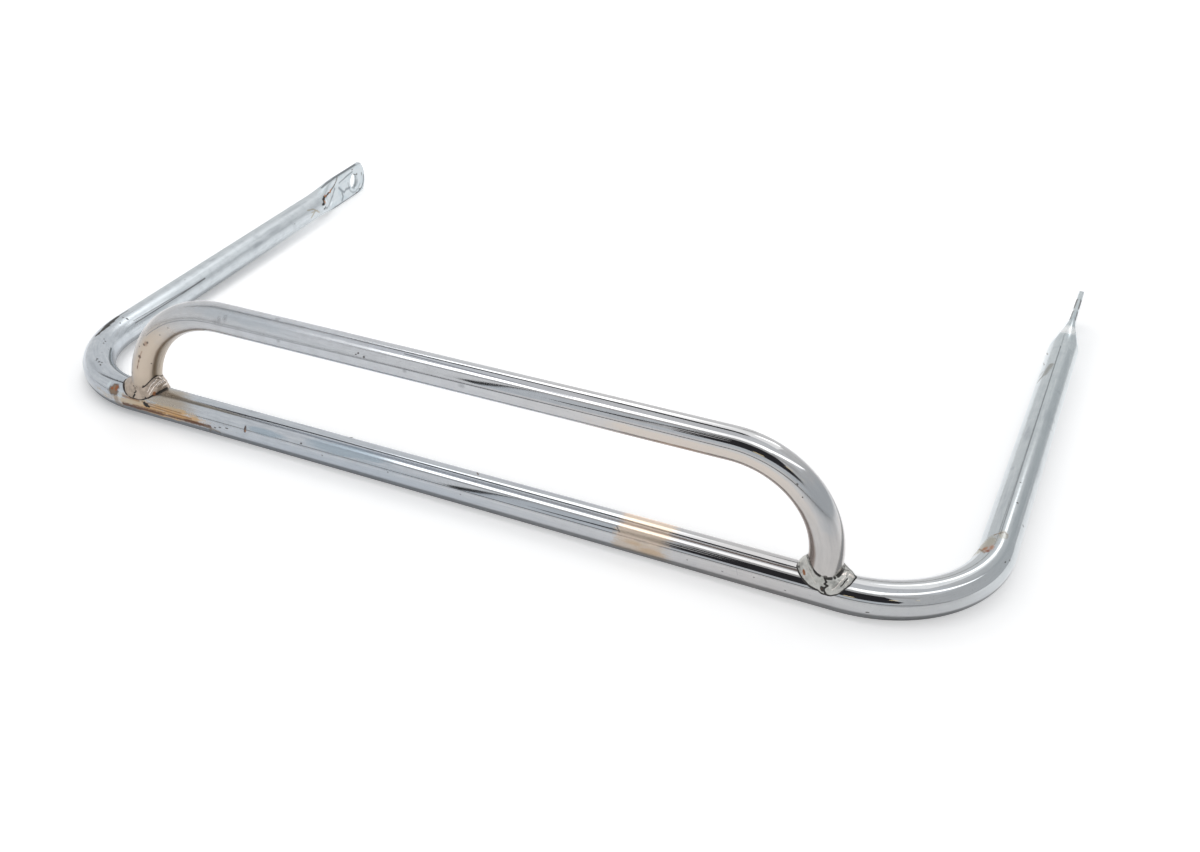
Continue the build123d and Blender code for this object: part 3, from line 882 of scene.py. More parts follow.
def hoop_finish():
    """The hoop's plate: clear on the right, dulled and beige towards the left foot, with painted reflection
    lines and painted shade.
    """
    f = TubeFinish("hoop_plate", HOOP_R / MM)
    whole = f.run / (HOOP_RUN / MM)
    colour = f.zones(whole, [
        (0.00, (0.55, 0.49, 0.445)), (0.09, (0.55, 0.52, 0.495)), (0.16, (0.54, 0.55, 0.565)),
        (0.30, (0.56, 0.585, 0.62)), (0.50, (0.57, 0.585, 0.61)), (0.68, (0.59, 0.585, 0.59)),
        (0.84, (0.56, 0.56, 0.565)), (0.93, (0.55, 0.535, 0.525)), (1.00, (0.55, 0.53, 0.51))])
    rough = f.zones(whole, [(0.0, 0.30), (0.15, 0.25), (0.36, 0.22), (0.47, 0.11), (0.54, 0.06), (0.82, 0.05),
                            (0.90, 0.12), (1.0, 0.2)])
    hazed = f.step(f.run, 240, 120)
    f.hazed = hazed
    colour = f.blend(f.step(f.cloudy, 0.42, 0.62) * (hazed * 0.06 + 0.10), colour, (0.38, 0.38, 0.39))
    colour = f.blend(f.step(f.streaky, 0.46, 0.72) * 0.14, colour, (0.72, 0.73, 0.74))
    colour = f.blend(f.step(f.streaky, 0.48, 0.26) * 0.14, colour, (0.32, 0.33, 0.35))
    colour = f.blend(f.step(f.ragged, 0.58, 0.70) * 0.16, colour, (0.22, 0.22, 0.23))
    rough = rough + (f.streaky + f.cloudy - 1.0) * (hazed * 0.045 + 0.02)
    skin = Layers(f, colour, rough)

    aside = f.turn.math("ABSOLUTE") + (f.cloudy - 0.5) * 30
    skin.lay(f.step(f.run + (f.cloudy - 0.5) * 24, 74, 36) * f.step(aside, 52, 84), (0.64, 0.54, 0.435), 0.34,
             0.85, 0.85)
    # Painted reflection: a dark brown band along the left leg and bend's inner side, with a thinner line
    # beside it
    painted_reflection_band = [(8, 170, 18, 162, 0.8), (18, 162, 28, 153, 0.9), (28, 153, 39, 143, 0.8), (39, 143, 52, 142, 0.7),
            (52, 142, 80, 132, 0.7)]
    skin.lay(f.streaks(painted_reflection_band, 0.25, 0.8), (0.24, 0.165, 0.11), 0.3, 0.85, 0.75)
    skin.lay(f.streaks([(24, 176, 60, 172, 0.25)], 0.4, 0.6), (0.24, 0.165, 0.11), 0.3, 0.85, 0.6)
    warm = f.step(f.run + (f.cloudy - 0.5) * 40, 262, 292) * f.step(f.turn + (f.cloudy - 0.5) * 12, 76, 90)
    skin.lay(warm * f.step(f.run, 384, 346), (0.68, 0.61, 0.545), 0.16, 1.0, 0.8)
    # Painted shade, not rust: a dark brown band along the underside of the hoop's right part
    rusty = f.step(f.turn + (f.cloudy - 0.5) * 10, 112, 124) * f.step(f.run, 262, 292)
    skin.lay(rusty, (0.26, 0.205, 0.18), 0.25, 0.95, 0.85)
    # Painted reflections: a thin dark horizon line along the hoop's front, and a thin dark line along its
    # upper front side
    painted_horizon_reflection = [(44, 70, 52, 76, 0.2), (52, 76, 82, 85, 0.2), (82, 85, 105, 83.5, 0.16),
               (105, 83.5, 160, 80, 0.15),
               (160, 80, 262, 78, 0.14)]
    skin.lay(f.streaks(painted_horizon_reflection, 0.5, 0.7), (0.20, 0.22, 0.245), 0.25, 1.0, 0.62)
    skin.lay(f.streaks([(186, 25, 222, 30.5, 0.2), (222, 30.5, 264, 37, 0.24)], 0.4, 0.7), (0.16, 0.17, 0.19),
             0.2, 1.0,
             0.7)
    blue = f.spots([(368, 44, 11, 3.6), (100, 40, 26, 2.6), (366, 16, 8, 2.4)], 0.2, 0.7, 0.8, 0.3)
    skin.lay(blue, (0.40, 0.445, 0.485), 0.22, 1.0, 0.55)
    smudges = [(92, 66, 1.0, 1.4), (95, 55, 0.9, 1.4), (90, 74, 0.7, 0.9), (120, 5, 1.0, 1.2),
               (215, 88, 1.4, 0.8),
               (124, 89, 0.8, 0.7), (188, 84, 0.9, 0.9), (73, -8, 1.3, 1.8), (41, 38, 1.6, 1.6)]
    skin.lay(f.spots(smudges, 0.6, 0.8, 0.3), (0.22, 0.23, 0.25), 0.35, 0.9, 0.42)
    pits = [(30, 88, 0.9, 0.8), (27, 90, 0.8, 0.35), (38.6, 84, 0.6, 0.6), (41.4, 91, 0.8, 0.5),
            (23, 89, 1.0, 0.3),
            (165, 62, 0.5, 0.4), (168, 70, 0.5, 0.5), (164, 68, 0.4, 0.3), (357, 67, 0.4, 0.4),
            (362, 82, 0.3, 0.3),
            (12, 118, 0.7, 0.8), (17, 62, 0.3, 0.5), (398.6, 76, 0.6, 0.8), (10.8, 94, 0.35, 1.6),
            (28.5, 138, 0.4, 0.4), (52, 104, 0.4, 0.3), (60, 96, 0.3, 0.3), (35, 70, 0.3, 0.3)]
    skin.lay(f.spots(pits, 0.5, 0.35), (0.06, 0.05, 0.045), 0.5, 0.3, 0.8)
    rusts = f.streaks([(22, 90, 34, 89, 0.3)], 0.8, 0.5, f.spots([(40, 88, 1.6, 1.0)], 0.5, 0.5))
    skin.lay(rusts, (0.36, 0.20, 0.13), 0.5, 0.5, 0.5)
    foot = f.step(f.run + (f.ragged - 0.5) * 2.5, 13.0, 10.5)
    skin.lay(foot, (0.40, 0.32, 0.26), 0.4, 0.8, 0.4)
    # Painted shade: darker brown on the left leg's inner side, and at half strength all round just above the
    # foot
    painted_shade_near_foot = f.step(f.turn.math("ABSOLUTE"), 136, 164) * f.step(f.run, 76, 46)
    skin.lay(painted_shade_near_foot + f.step(f.run, 20, 13) * 0.5, (0.34, 0.29, 0.225), 0.35, 0.8, 0.56)
    return f.close(skin.colour, skin.rough, skin.metal, relief_of(f))


def weld_finish(name, metal, dull, tint):
    """A weld bead's dull plate, darker in its cracks and along its edges, with painted highlights on its
    ridges.
    """
    f = Finish(name)
    place = f.add("ShaderNodeTexCoord", output=3)
    fine = f.grain(place, 1400.0, 4.0, 0.6)
    broad = f.grain(place, 420.0, 3.0, 0.55)
    crack = f.add("ShaderNodeAttribute", {"attribute_name": "crevice"}, output=2)
    rust = f.add("ShaderNodeAttribute", {"attribute_name": "rust"}, output=2)
    gleam = f.add("ShaderNodeAttribute", {"attribute_name": "gleam"}, output=2)
    skin = Layers(f, f.blend(f.step(broad, 0.35, 0.65), metal, dull), 0.24 + broad * 0.22, 0.62)
    skin.lay(f.step(fine, 0.55, 0.75), tint, 0.4, 0.9, 0.4)
    skin.lay(f.step(fine, 0.42, 0.28), (0.25, 0.21, 0.18), 0.45, 0.8, 0.35)
    # Painted highlights on the bead's ridges
    skin.lay(f.step(gleam + (fine - 0.5) * 0.5, 0.3, 0.7), (0.96, 0.88, 0.82), 0.22, 0.9, 0.8)
    skin.lay(f.step(crack + (fine - 0.5) * 0.5, 0.35, 0.62), (0.018, 0.014, 0.013), 0.7, 0.0, 0.95)
    skin.lay(f.step(rust + (fine - 0.5) * 0.5, 0.3, 0.65), RUST_ORANGE, 0.75, 0.0, 0.9)
    relief = f.add("ShaderNodeBump", None, Strength=0.3, Distance=0.0003, Height=fine * 0.4 + broad)
    return f.close(skin.colour, skin.rough, skin.metal, relief)


bar_plate = main_plate()
blade_plate = blade_plate_finish()
hoop_plate = hoop_finish()
left_bead_plate = weld_finish("left_weld_plate", (0.55, 0.46, 0.38), (0.43, 0.355, 0.29), (0.70, 0.60, 0.50))
right_bead_plate = weld_finish("right_weld_plate", (0.63, 0.63, 0.60), (0.50, 0.50, 0.47), (0.78, 0.79, 0.76))


# Walls: an outer and an inner skin, bridged at both ends

def end_rings(mesh, points, along):
    """The open edges of a skin, as two lists of vertices in order round the tube."""
    uses = {}
    for face in mesh.polygons:
        for key in face.edge_keys:
            uses[key] = uses.get(key, 0) + 1
    run, turn = along(points)
    open_ends = {v for key, count in uses.items() if count == 1 for v in key}
    open_ends = sorted(open_ends, key=lambda v: (turn[v] + 1) % 360)
    middle = run.mean()
    return [v for v in open_ends if run[v] < middle], [v for v in open_ends if run[v] > middle]


def walled(piece, inner, along):
    """Joins the inner skin to the outer one, turned inside out, and closes the wall at both ends."""
    outer_points, inner_points = points_of(piece.data), points_of(inner.data)
    count = len(outer_points)
    faces = [tuple(f.vertices) for f in piece.data.polygons]
    faces += [tuple(v + count for v in reversed(f.vertices)) for f in inner.data.polygons]
    outer_rings = end_rings(piece.data, outer_points, along)
    inner_rings = end_rings(inner.data, inner_points, along)
    for which in (0, 1):
        near, deep = outer_rings[which], [v + count for v in inner_rings[which]]
        for i in range(len(near)):
            j = (i + 1) % len(near)
            faces.append((near[i], near[j], deep[j], deep[i]))
    mesh = closed_mesh(piece.name, np.concatenate([outer_points, inner_points]), faces)
    for material in piece.data.materials:
        mesh.materials.append(material)
    mesh.shade_smooth()
    piece.data = mesh
    bpy.data.objects.remove(inner)


# Main tube

corners = []
for side, reach in ((-1, ARM_LENGTH), (-1, 0.0), (1, 0.0), (1, ARM_LENGTH)):
    corners.append((side * (BAR_WIDTH / 2 + reach * sin(SPLAY)), reach * cos(SPLAY), 0.0))
route = lean_up(np.array(corners))
blade_reach = BLADE_LENGTH + PRESS_LENGTH + 6 * MM          # the fine rings start a little before the press

# The cutters: how high, how far past the hole and how deep the trimming plate is, and the drill's shape
TRIM_HIGH = 16 * MM
TRIM_PAST = 30 * MM
TRIM_DEEP = 9 * MM
HOLE_SIDES = 64
HOLE_EASE = 0.4 * MM             # how deep the hole's edge is eased at each face
DRILL_REACH = 5 * MM
DRILL_FLARE = 9.1 * MM


def main_skin(name, inset, fine, coarse):
    """One skin of the main tube, pressed at both ends."""
    skin = swept_tube(name, route, bar_plate, First_bend=BEND_R, Second_bend=BEND_R,
                      Tube_radius=TUBE_R - inset,
                      Sides=96, Fine_reach=blade_reach, Fine_steps=fine, Plain_steps=coarse)
    press_arms(skin, inset)
    return skin


def tip_cutter(side):
    """A plate that trims the blade's square end to an arc about the hole, with rounded corners."""
    corner = np.array([sqrt((HOLE_TO_TIP - TIP_CORNER) ** 2 - (BLADE_HALF_HIGH - TIP_CORNER) ** 2),
                       BLADE_HALF_HIGH - TIP_CORNER])
    lean = atan2(corner[1], corner[0])
    upper = [corner + TIP_CORNER * np.array([cos(a), sin(a)]) for a in np.linspace(pi / 2, lean, 8)]
    tip = [HOLE_TO_TIP * np.array([cos(a), sin(a)]) for a in np.linspace(lean, -lean, 40)[1:-1]]
    lower = [p * np.array([1, -1]) for p in reversed(upper)]
    outline = [np.array([corner[0], TRIM_HIGH]), *upper, *tip, *lower, np.array([corner[0], -TRIM_HIGH]),
               np.array([TRIM_PAST, -TRIM_HIGH]), np.array([TRIM_PAST, TRIM_HIGH])]
    return prism(outline, TRIM_DEEP, side)


def hole_cutter(side):
    """A drill with a countersink at each face, for a slightly rounded edge."""
    straight = BLADE_HALF_THICK - HOLE_EASE
    rings = ((-DRILL_REACH, DRILL_FLARE), (-straight, HOLE_R), (straight, HOLE_R), (DRILL_REACH, DRILL_FLARE))
    turn = np.linspace(0, 2 * pi, HOLE_SIDES, endpoint=False)
    points = np.concatenate([
        arm_points(ARM_LENGTH - HOLE_TO_TIP + radius * np.cos(turn), np.full(HOLE_SIDES, outward),
                   radius * np.sin(turn), side)
        for outward, radius in rings
    ])
    count = len(points)
    faces = [tuple(range(HOLE_SIDES)), tuple(range(count - 1, count - HOLE_SIDES - 1, -1))]
    for start in range(0, count - HOLE_SIDES, HOLE_SIDES):
        for i in range(HOLE_SIDES):
            j = (i + 1) % HOLE_SIDES
            faces.append((start + i, start + j, start + HOLE_SIDES + j, start + HOLE_SIDES + i))
    return points, faces


def prism(outline, half_deep, side):
    """An outline about the hole's centre, made solid across the blade."""
    flat = np.array(outline)
    count = len(flat)
    points = np.concatenate([
        arm_points(ARM_LENGTH - HOLE_TO_TIP + flat[:, 0], np.full(count, deep), flat[:, 1], side)
        for deep in (-half_deep, half_deep)
    ])
    faces = [tuple(range(count)), tuple(range(2 * count - 1, count - 1, -1))]
    faces += [(i, (i + 1) % count, count + (i + 1) % count, count + i) for i in range(count)]
    return points, faces


def cut(piece, solids):
    """Cuts closed solids out of a piece."""
    points, faces = [], []
    for some_points, some_faces in solids:
        faces += [tuple(v + len(points) for v in face) for face in some_faces]
        points += [tuple(p) for p in some_points]
    cutter = link("cutter", closed_mesh("cutter", points, faces))
    away = piece.modifiers.new("cut", "BOOLEAN")
    away.object = cutter
    away.operation = "DIFFERENCE"
    away.solver = "EXACT"
    settle(piece, piece.name)
    bpy.data.objects.remove(cutter)


def sharpen(piece, degrees_limit):
    """Smooth faces, with a crease wherever two faces meet at more than that angle."""
    mesh = piece.data
    mesh.shade_smooth()
    mesh.set_sharp_from_angle(angle=radians(degrees_limit))


main_tube = main_skin("main_tube_skin", 0.0, 148, 380)
walled(main_tube, main_skin("main_tube_bore", WALL, 30, 150), along_main)
cut(main_tube, [tip_cutter(-1), tip_cutter(1), hole_cutter(-1), hole_cutter(1)])
sharpen(main_tube, 35)
map_tube(main_tube, along_main)
map_blades(main_tube, blade_plate)


# Hoop: its feet are coped to sit on the main tube

def hoop_point(run, turn, radius):
    """A point of the hoop at a run from its left foot, an angle round it, and a radius from its centreline."""
    left_turn = np.clip((run - LEFT_LEG_STRAIGHT) / LEFT_BEND, 0, pi / 2)
    right_turn = np.clip((run - TOP_END) / RIGHT_BEND, 0, pi / 2)
    rise = np.minimum(run, LEFT_LEG_STRAIGHT) + LEFT_BEND * np.sin(left_turn)
    x = LEFT_FOOT_X + LEFT_BEND * (1 - np.cos(left_turn)) + np.clip(run - TOP_START, 0, TOP_END - TOP_START)
    x = x + RIGHT_BEND * np.sin(right_turn)
    z = rise - RIGHT_BEND * (1 - np.cos(right_turn)) - np.maximum(run - LEG_START, 0)
    out_x = -np.cos(left_turn) + np.sin(right_turn)
    out_z = np.sin(left_turn) - (1 - np.cos(right_turn))
    out = radius * np.cos(turn)
    return np.stack([x + out_x * out, -radius * np.sin(turn), z + out_z * out], -1) + BAR


def cope_feet(piece, radius, reach):
    """Slides the rings near each foot along the hoop, so that the skin ends on the main tube."""
    points = points_of(piece.data)
    run, turn = along_hoop(points)
    turn = np.radians(turn)
    for from_foot, sign, start in ((run, 1, 0.0), (HOOP_RUN - run, -1, HOOP_RUN)):
        near = from_foot < reach
        low, high = np.zeros(near.sum()), np.full(near.sum(), reach)
        for _ in range(40):
            middle = (low + high) / 2
            place = hoop_point(start + sign * middle, turn[near], radius) - BAR
            inside = np.hypot(place[:, 1], place[:, 2]) < TUBE_R
            low, high = np.where(inside, middle, low), np.where(inside, high, middle)
        slid = low + (reach - low) * from_foot[near] / reach
        points[near] = hoop_point(start + sign * slid, turn[near], radius)
    set_points(piece.data, points)


hoop_route = np.array([(LEFT_FOOT_X, 0, 0), (LEFT_FOOT_X, 0, HOOP_RISE), (RIGHT_FOOT_X, 0, HOOP_RISE),
                       (RIGHT_FOOT_X, 0, 0)]) + BAR


def hoop_skin(name, inset, fine, coarse):
    """One skin of the hoop, coped at both feet."""
    skin = swept_tube(name, hoop_route, hoop_plate, First_bend=LEFT_BEND, Second_bend=RIGHT_BEND,
                      Tube_radius=HOOP_R - inset, Sides=80, Fine_reach=24 * MM, Fine_steps=fine,
                      Plain_steps=coarse)
    cope_feet(skin, HOOP_R - inset, 22 * MM)
    return skin


hoop_tube = hoop_skin("hoop_tube_skin", 0.0, 28, 200)
walled(hoop_tube, hoop_skin("hoop_tube_bore", WALL, 10, 60), along_hoop)
sharpen(hoop_tube, 50)
map_tube(hoop_tube, along_hoop)


# Welds: a bead round each foot of the hoop, drawn as a ring of profiles from its rim on the leg to its toe
# on the bar. Angles round the leg run from 0 at the front to 90 at the right.

def round_table(turns, table):
    """Reads a smooth closed curve of values at those angles, from a table of angle and value."""
    table = sorted(table)
    at = np.array([row[0] for row in table])
    value = np.array([row[1] for row in table])
    at = np.concatenate([at - 360, at, at + 360])
    value = np.tile(value, 3)
    dense = np.arange(-540, 540, 0.5)
    read = np.interp(dense, at, value)
    kernel = np.hanning(25)
    read = np.convolve(np.pad(read, 12, "edge"), kernel / kernel.sum(), "valid")
    return np.interp(turns, dense, read)


def lump(points, seed):
    """Smooth noise from about -1 to 1 at each point."""
    return np.array([noise.noise(Vector(p) + Vector((seed, 2 * seed, 3 * seed))) for p in points])


AROUND = 336             # places round each bead
STEPS = 46               # rows from its rim to its toe
TURN_MM = 0.16           # mm for each degree round the leg
FACE_MM = 8.0            # mm from rim to toe
INK_REACH = 0.75         # mm over which the ink along an edge fades
SUNK = 0.3               # mm that the hidden rows lie inside the tubes' skins
BEAD_TURNS = np.linspace(-180, 180, AROUND, endpoint=False)
FACE_ROWS = slice(1, STEPS + 1)


def bead_rows(foot_x, inward, leg_straight, bend, rims, toes, fullness, rim_dark):
    """A bead's rows in mm: its rim on the leg, its face down to its toe on the bar, and back inside."""
    sideways, forward = np.sin(np.radians(BEAD_TURNS)), np.cos(np.radians(BEAD_TURNS))

    def on_leg(height, radius):
        rise = np.maximum(height - leg_straight, 0)
        lean = inward * (bend - np.sqrt(bend ** 2 - rise ** 2))
        return np.stack([foot_x + lean + radius * sideways, radius * forward, height], 1)

    def on_bar(x, angle, radius):
        return np.stack([foot_x + x, radius * np.sin(angle), radius * np.cos(angle)], 1)

    leg_r, bar_r = HOOP_R / MM, TUBE_R / MM
    rim = round_table(BEAD_TURNS, rims)
    toe_x = round_table(BEAD_TURNS, [(row[0], row[1]) for row in toes])
    toe_turn = np.radians(round_table(BEAD_TURNS, [(row[0], row[2]) for row in toes]))
    full = round_table(BEAD_TURNS, fullness)[:, None]
    lip = 0.05 + 0.32 * np.clip(rim_dark * 2, 0, 1)
    rim_point, rim_edge = on_leg(rim, leg_r - SUNK), on_leg(rim - 0.12, leg_r + lip)
    toe_point = on_bar(toe_x, toe_turn, bar_r - SUNK)
    toe_edge = on_bar(toe_x * 0.985, toe_turn * 0.985, bar_r + 0.42)
    fold_y = leg_r * forward
    fold = on_leg(np.sqrt(bar_r ** 2 - fold_y ** 2), leg_r)
    halfway = (rim_edge + toe_edge) / 2
    bulge = halfway - fold
    bulge = bulge / np.maximum(np.linalg.norm(bulge, axis=1), 0.01)[:, None]
    pull = fold * (1 - full) + halfway * full + bulge * 1.6 * full
    face = [rim_edge * (1 - t) ** 2 + pull * 2 * t * (1 - t) + toe_edge * t ** 2 for t in np.linspace(0, 1,
                                                                                                      STEPS)]
    inner = on_leg(np.sqrt(bar_r ** 2 - (fold_y * 0.9) ** 2) - SUNK, leg_r - 0.7)
    below = toe_point * 0.5 + inner * 0.5
    deep = np.hypot(below[:, 1], below[:, 2])
    below[:, 1:] *= (np.minimum(deep, bar_r - SUNK) / deep)[:, None]
    return np.stack([rim_point, *face, toe_point, below, inner, inner * 0.5 + rim_point * 0.5])


def outward_of(face):
    """The outward direction at each point of a bead's face."""
    normal = np.cross(np.gradient(face, axis=1), np.gradient(face, axis=0))
    normal /= np.maximum(np.linalg.norm(normal, axis=2), 1e-9)[:, :, None]
    return -normal if (normal[:, AROUND // 2, 1] < 0).mean() > 0.5 else normal


def bead_marks(face, rim_dark, toe_dark, grooves, pits, seed):
    """How far a bead's face is lifted, in mm, and how dark and rusty it is painted, and where a highlight is
    painted on.

    A groove is a path of (angle, share from rim to toe), with its width, depth and ink. It is a ridge where
    the depth is below 0, and has a painted highlight where the ink is below 0. A pit is an angle, share,
    radius, depth, ink and rust.
    """
    turn, share = np.meshgrid(BEAD_TURNS, np.linspace(0, 1, STEPS))
    across, down = turn * TURN_MM, share * FACE_MM
    lift = np.zeros(turn.shape)
    for high, scale, shift in ((0.22, 0.42, 0), (0.10, 1.1, 5), (0.035, 3.0, 9)):
        lift += high * lump(face.reshape(-1, 3) * scale, seed + shift).reshape(turn.shape)
    lift *= 0.25 + 0.75 * np.minimum(1, np.minimum(share, 1 - share) / 0.08)
    places = np.stack([share[:, 0] * 6, np.zeros(STEPS), np.full(STEPS, seed)], 1)
    wander = 1.6 * TURN_MM * lump(places, seed)[:, None]
    dark = np.maximum(rim_dark * np.exp(-(down / INK_REACH) ** 4),
                      toe_dark * np.exp(-((FACE_MM - down) / INK_REACH) ** 4))
    rust, gleam = np.zeros(turn.shape), np.zeros(turn.shape)
    for path, width, deep, ink in grooves:
        path = [(angle * TURN_MM, part * FACE_MM) for angle, part in path]
        for (a, b), (c, d) in zip(path, path[1:]):
            u = ((across - a) * (c - a) + (down - b) * (d - b)) / ((c - a) ** 2 + (d - b) ** 2)
            u = np.clip(u, 0, 1)
            off = np.hypot(across + wander - a - u * (c - a), down - b - u * (d - b))
            core = np.exp(-(off / (width * 0.8)) ** 4)
            lift -= deep * np.exp(-(off / width) ** 2)
            dark, gleam = np.maximum(dark, ink * core), np.maximum(gleam, -ink * core)
    for angle, part, radius, deep, ink, rusty in pits:
        off = np.hypot(across - angle * TURN_MM, down - part * FACE_MM)
        lift -= deep * np.exp(-(off / radius) ** 2)
        dark = np.maximum(dark, ink * np.exp(-(off / radius) ** 4))
        rust = np.maximum(rust, rusty * np.exp(-(off / (radius * 1.3)) ** 2))
    return lift, dark, rust, gleam


def weld_bead(name, foot_x, inward, leg_straight, bend, rims, toes, fullness, rim_ink, toe_ink, grooves, pits,
              finish, seed):
    """One weld as a closed ring of profiles. Rims and toes are read round the leg, in mm and degrees."""
    rim_dark, toe_dark = round_table(BEAD_TURNS, rim_ink), round_table(BEAD_TURNS, toe_ink)
    grid = bead_rows(foot_x, inward, leg_straight, bend, rims, toes, fullness, rim_dark)
    face = grid[FACE_ROWS]
    lift, dark, rust, gleam = bead_marks(face, rim_dark, toe_dark, grooves, pits, seed)
    grid[FACE_ROWS] = face + outward_of(face) * lift[:, :, None]
    height = len(grid)
    faces = []
    for r in range(height):
        k = (r + 1) % height
        for i in range(AROUND):
            j = (i + 1) % AROUND
            faces.append((r * AROUND + i, r * AROUND + j, k * AROUND + j, k * AROUND + i))
    mesh = closed_mesh(name, grid.reshape(-1, 3) * np.array([1, -1, 1]) * MM + BAR, faces)
    for label, field in (("crevice", dark), ("rust", rust), ("gleam", gleam)):
        whole = np.zeros((height, AROUND))
        whole[FACE_ROWS] = field
        whole[0], whole[STEPS + 1] = field[0], field[-1]
        paint = mesh.attributes.new(label, "FLOAT", "POINT")
        paint.data.foreach_set("value", whole.astype(np.float32).ravel())
    mesh.materials.append(finish)
    piece = link(name, mesh)
    sharpen(piece, 48)
    return piece


LEFT_RIMS = [(-180, 10.8), (-150, 12.0), (-110, 13.4), (-75, 13.6), (-45, 12.8), (-15, 11.6), (4, 11.2),
             (24, 11.2),
             (34, 12.0), (47, 13.5), (61, 15.8), (80, 16.4), (100, 14.6), (125, 13.2), (155, 11.8)]
LEFT_TOES = [(-92, -13.1, 4), (-74, -12.7, 22), (-60, -10.6, 44), (-46, -7.8, 60), (-26, -4.0, 68),
             (0, 0.0, 66),
             (18, 2.4, 64), (40, 5.4, 54), (54, 7.0, 44), (68, 9.6, 27), (80, 10.8, 10), (97, 11.4, -14),
             (125, 9.5, -42), (155, 4.5, -62), (180, 0, -66), (-155, -4.5, -62), (-122, -10.5, -36)]
LEFT_FULLNESS = [(-180, 0.35), (-120, 0.6), (-60, 0.62), (-20, 0.7), (6, 0.5), (26, 0.6), (40, 0.95),
                 (70, 1.15),
                 (95, 1.1), (120, 0.8)]
LEFT_RIM_INK = [(-180, 0.3), (-120, 0.2), (-70, 0.0), (20, 0.0), (29, 1.3), (66, 1.3), (84, 0.8), (100, 0.6),
                (125, 0.5)]
LEFT_TOE_INK = [(-180, 0.5), (-100, 0.6), (-82, 1.2), (-46, 1.4), (-40, 0.3), (-30, 0.8), (-10, 0.7),
                (10, 0.6),
                (20, 0.85), (38, 0.6), (50, 0.3), (100, 0.3), (120, 0.5)]
RIGHT_RIMS = [(-180, 10.8), (-145, 11.9), (-112, 12.8), (-84, 14.0), (-61, 15.0), (-36, 13.1), (-14, 11.5),
              (12, 10.5), (40, 10.4), (57, 10.6), (75, 11.4), (98, 12.0), (125, 12.2), (155, 11.4)]
RIGHT_TOES = [(-110, -10.0, -24), (-97, -10.8, -8), (-84, -10.9, 12), (-68, -9.3, 32), (-50, -6.5, 51),
              (-32, -3.8, 62),
              (-16, -1.6, 65), (-4, 0.0, 66), (6, 1.1, 71), (16, 2.6, 73), (32, 5.2, 71), (47, 7.6, 62),
              (62, 9.6, 44),
              (75, 11.4, 27), (86, 12.1, 11), (97, 13.1, -10), (125, 9.8, -42), (155, 4.5, -62),
              (180, 0, -65),
              (-155, -4.5, -62), (-130, -8.2, -44)]
RIGHT_FULLNESS = [(-180, 0.35), (-120, 0.8), (-60, 1.1), (-30, 1.1), (-2, 0.75), (12, 0.6), (26, 0.95),
                  (60, 1.1),
                  (90, 0.9), (120, 0.8)]
RIGHT_RIM_INK = [(-180, 0.5), (-100, 0.5), (-60, 0.5), (-26, 0.5), (-19, 1.5), (-6, 1.5), (0, 0.3), (12, 0.3),
                 (19, 1.3), (34, 1.2), (38, 0.0), (45, 1.3), (50, 0.0), (56, 0.95), (64, 0.68), (80, 0.6),
                 (92, 0.5), (120, 0.5)]
RIGHT_TOE_INK = [(-180, 0.6), (-100, 1.0), (-86, 1.5), (-12, 1.5), (-4, 0.9), (4, 1.2), (40, 0.9), (60, 0.8),
                 (72, 1.1),
                 (84, 0.8), (110, 0.7)]

# Grooves with ink below 0 are ridges with a painted highlight
weld_left = weld_bead(
    "weld_left_bead", LEFT_FOOT_X / MM, 1, LEFT_LEG_STRAIGHT / MM, LEFT_BEND / MM, LEFT_RIMS, LEFT_TOES,
    LEFT_FULLNESS, LEFT_RIM_INK, LEFT_TOE_INK,
    grooves=[([(-20, 0.14), (-4, 0.03)], 0.52, 0.12, 1.1), ([(-12, 0.12), (-10, 0.26)], 0.42, 0.1, 0.95),
             ([(-6, 0.34), (-9, 0.48), (-15, 0.56)], 0.46, 0.1, 1.0),
             ([(-13, 0.68), (-19, 0.86)], 0.68, 0.15, 1.1),
             ([(44, 0.62), (56, 0.42), (72, 0.26)], 0.5, -0.22, -1.0),
             ([(50, 0.84), (64, 0.6), (80, 0.46)], 0.4, -0.18, -0.9),
             ([(84, 0.16), (90, 0.4)], 0.5, -0.2, -0.9),
             ([(74, 0.66), (92, 0.52)], 0.8, -0.2, -0.8), ([(84, 0.86), (100, 0.7)], 0.6, -0.12, -0.7),
             ([(-86, 0.90), (-66, 0.87), (-50, 0.93)], 0.55, 0.06, 1.0),
             ([(38, 0.975), (56, 0.985), (76, 0.985), (96, 0.98)], 0.26, 0.0, 0.95),
             ([(34, 0.2), (44, 0.5), (40, 0.8)], 0.3, 0.1, 0.34),
             ([(66, 0.12), (84, 0.34), (96, 0.7)], 0.26, 0.2, 0.62),
             ([(178, 0.0), (174, 0.5), (180, 1.0)], 0.5, 0.4, 0.8)],
    pits=[(33, 0.9, 0.5, 0.2, 1.0, 0.0), (78, 0.24, 0.4, 0.2, 1.0, 0.0), (92, 0.3, 0.45, 0.2, 1.0, 0.0),
          (98, 0.52, 0.35, 0.15, 1.0, 0.0), (86, 0.58, 0.4, 0.15, 1.0, 0.0), (104, 0.36, 0.4, 0.2, 0.9, 0.0),
          (-34, 0.5, 0.3, 0.05, 0.5, 0.0), (62, 0.93, 0.6, 0.1, 0.0, 0.9)],
    finish=left_bead_plate, seed=3.0)
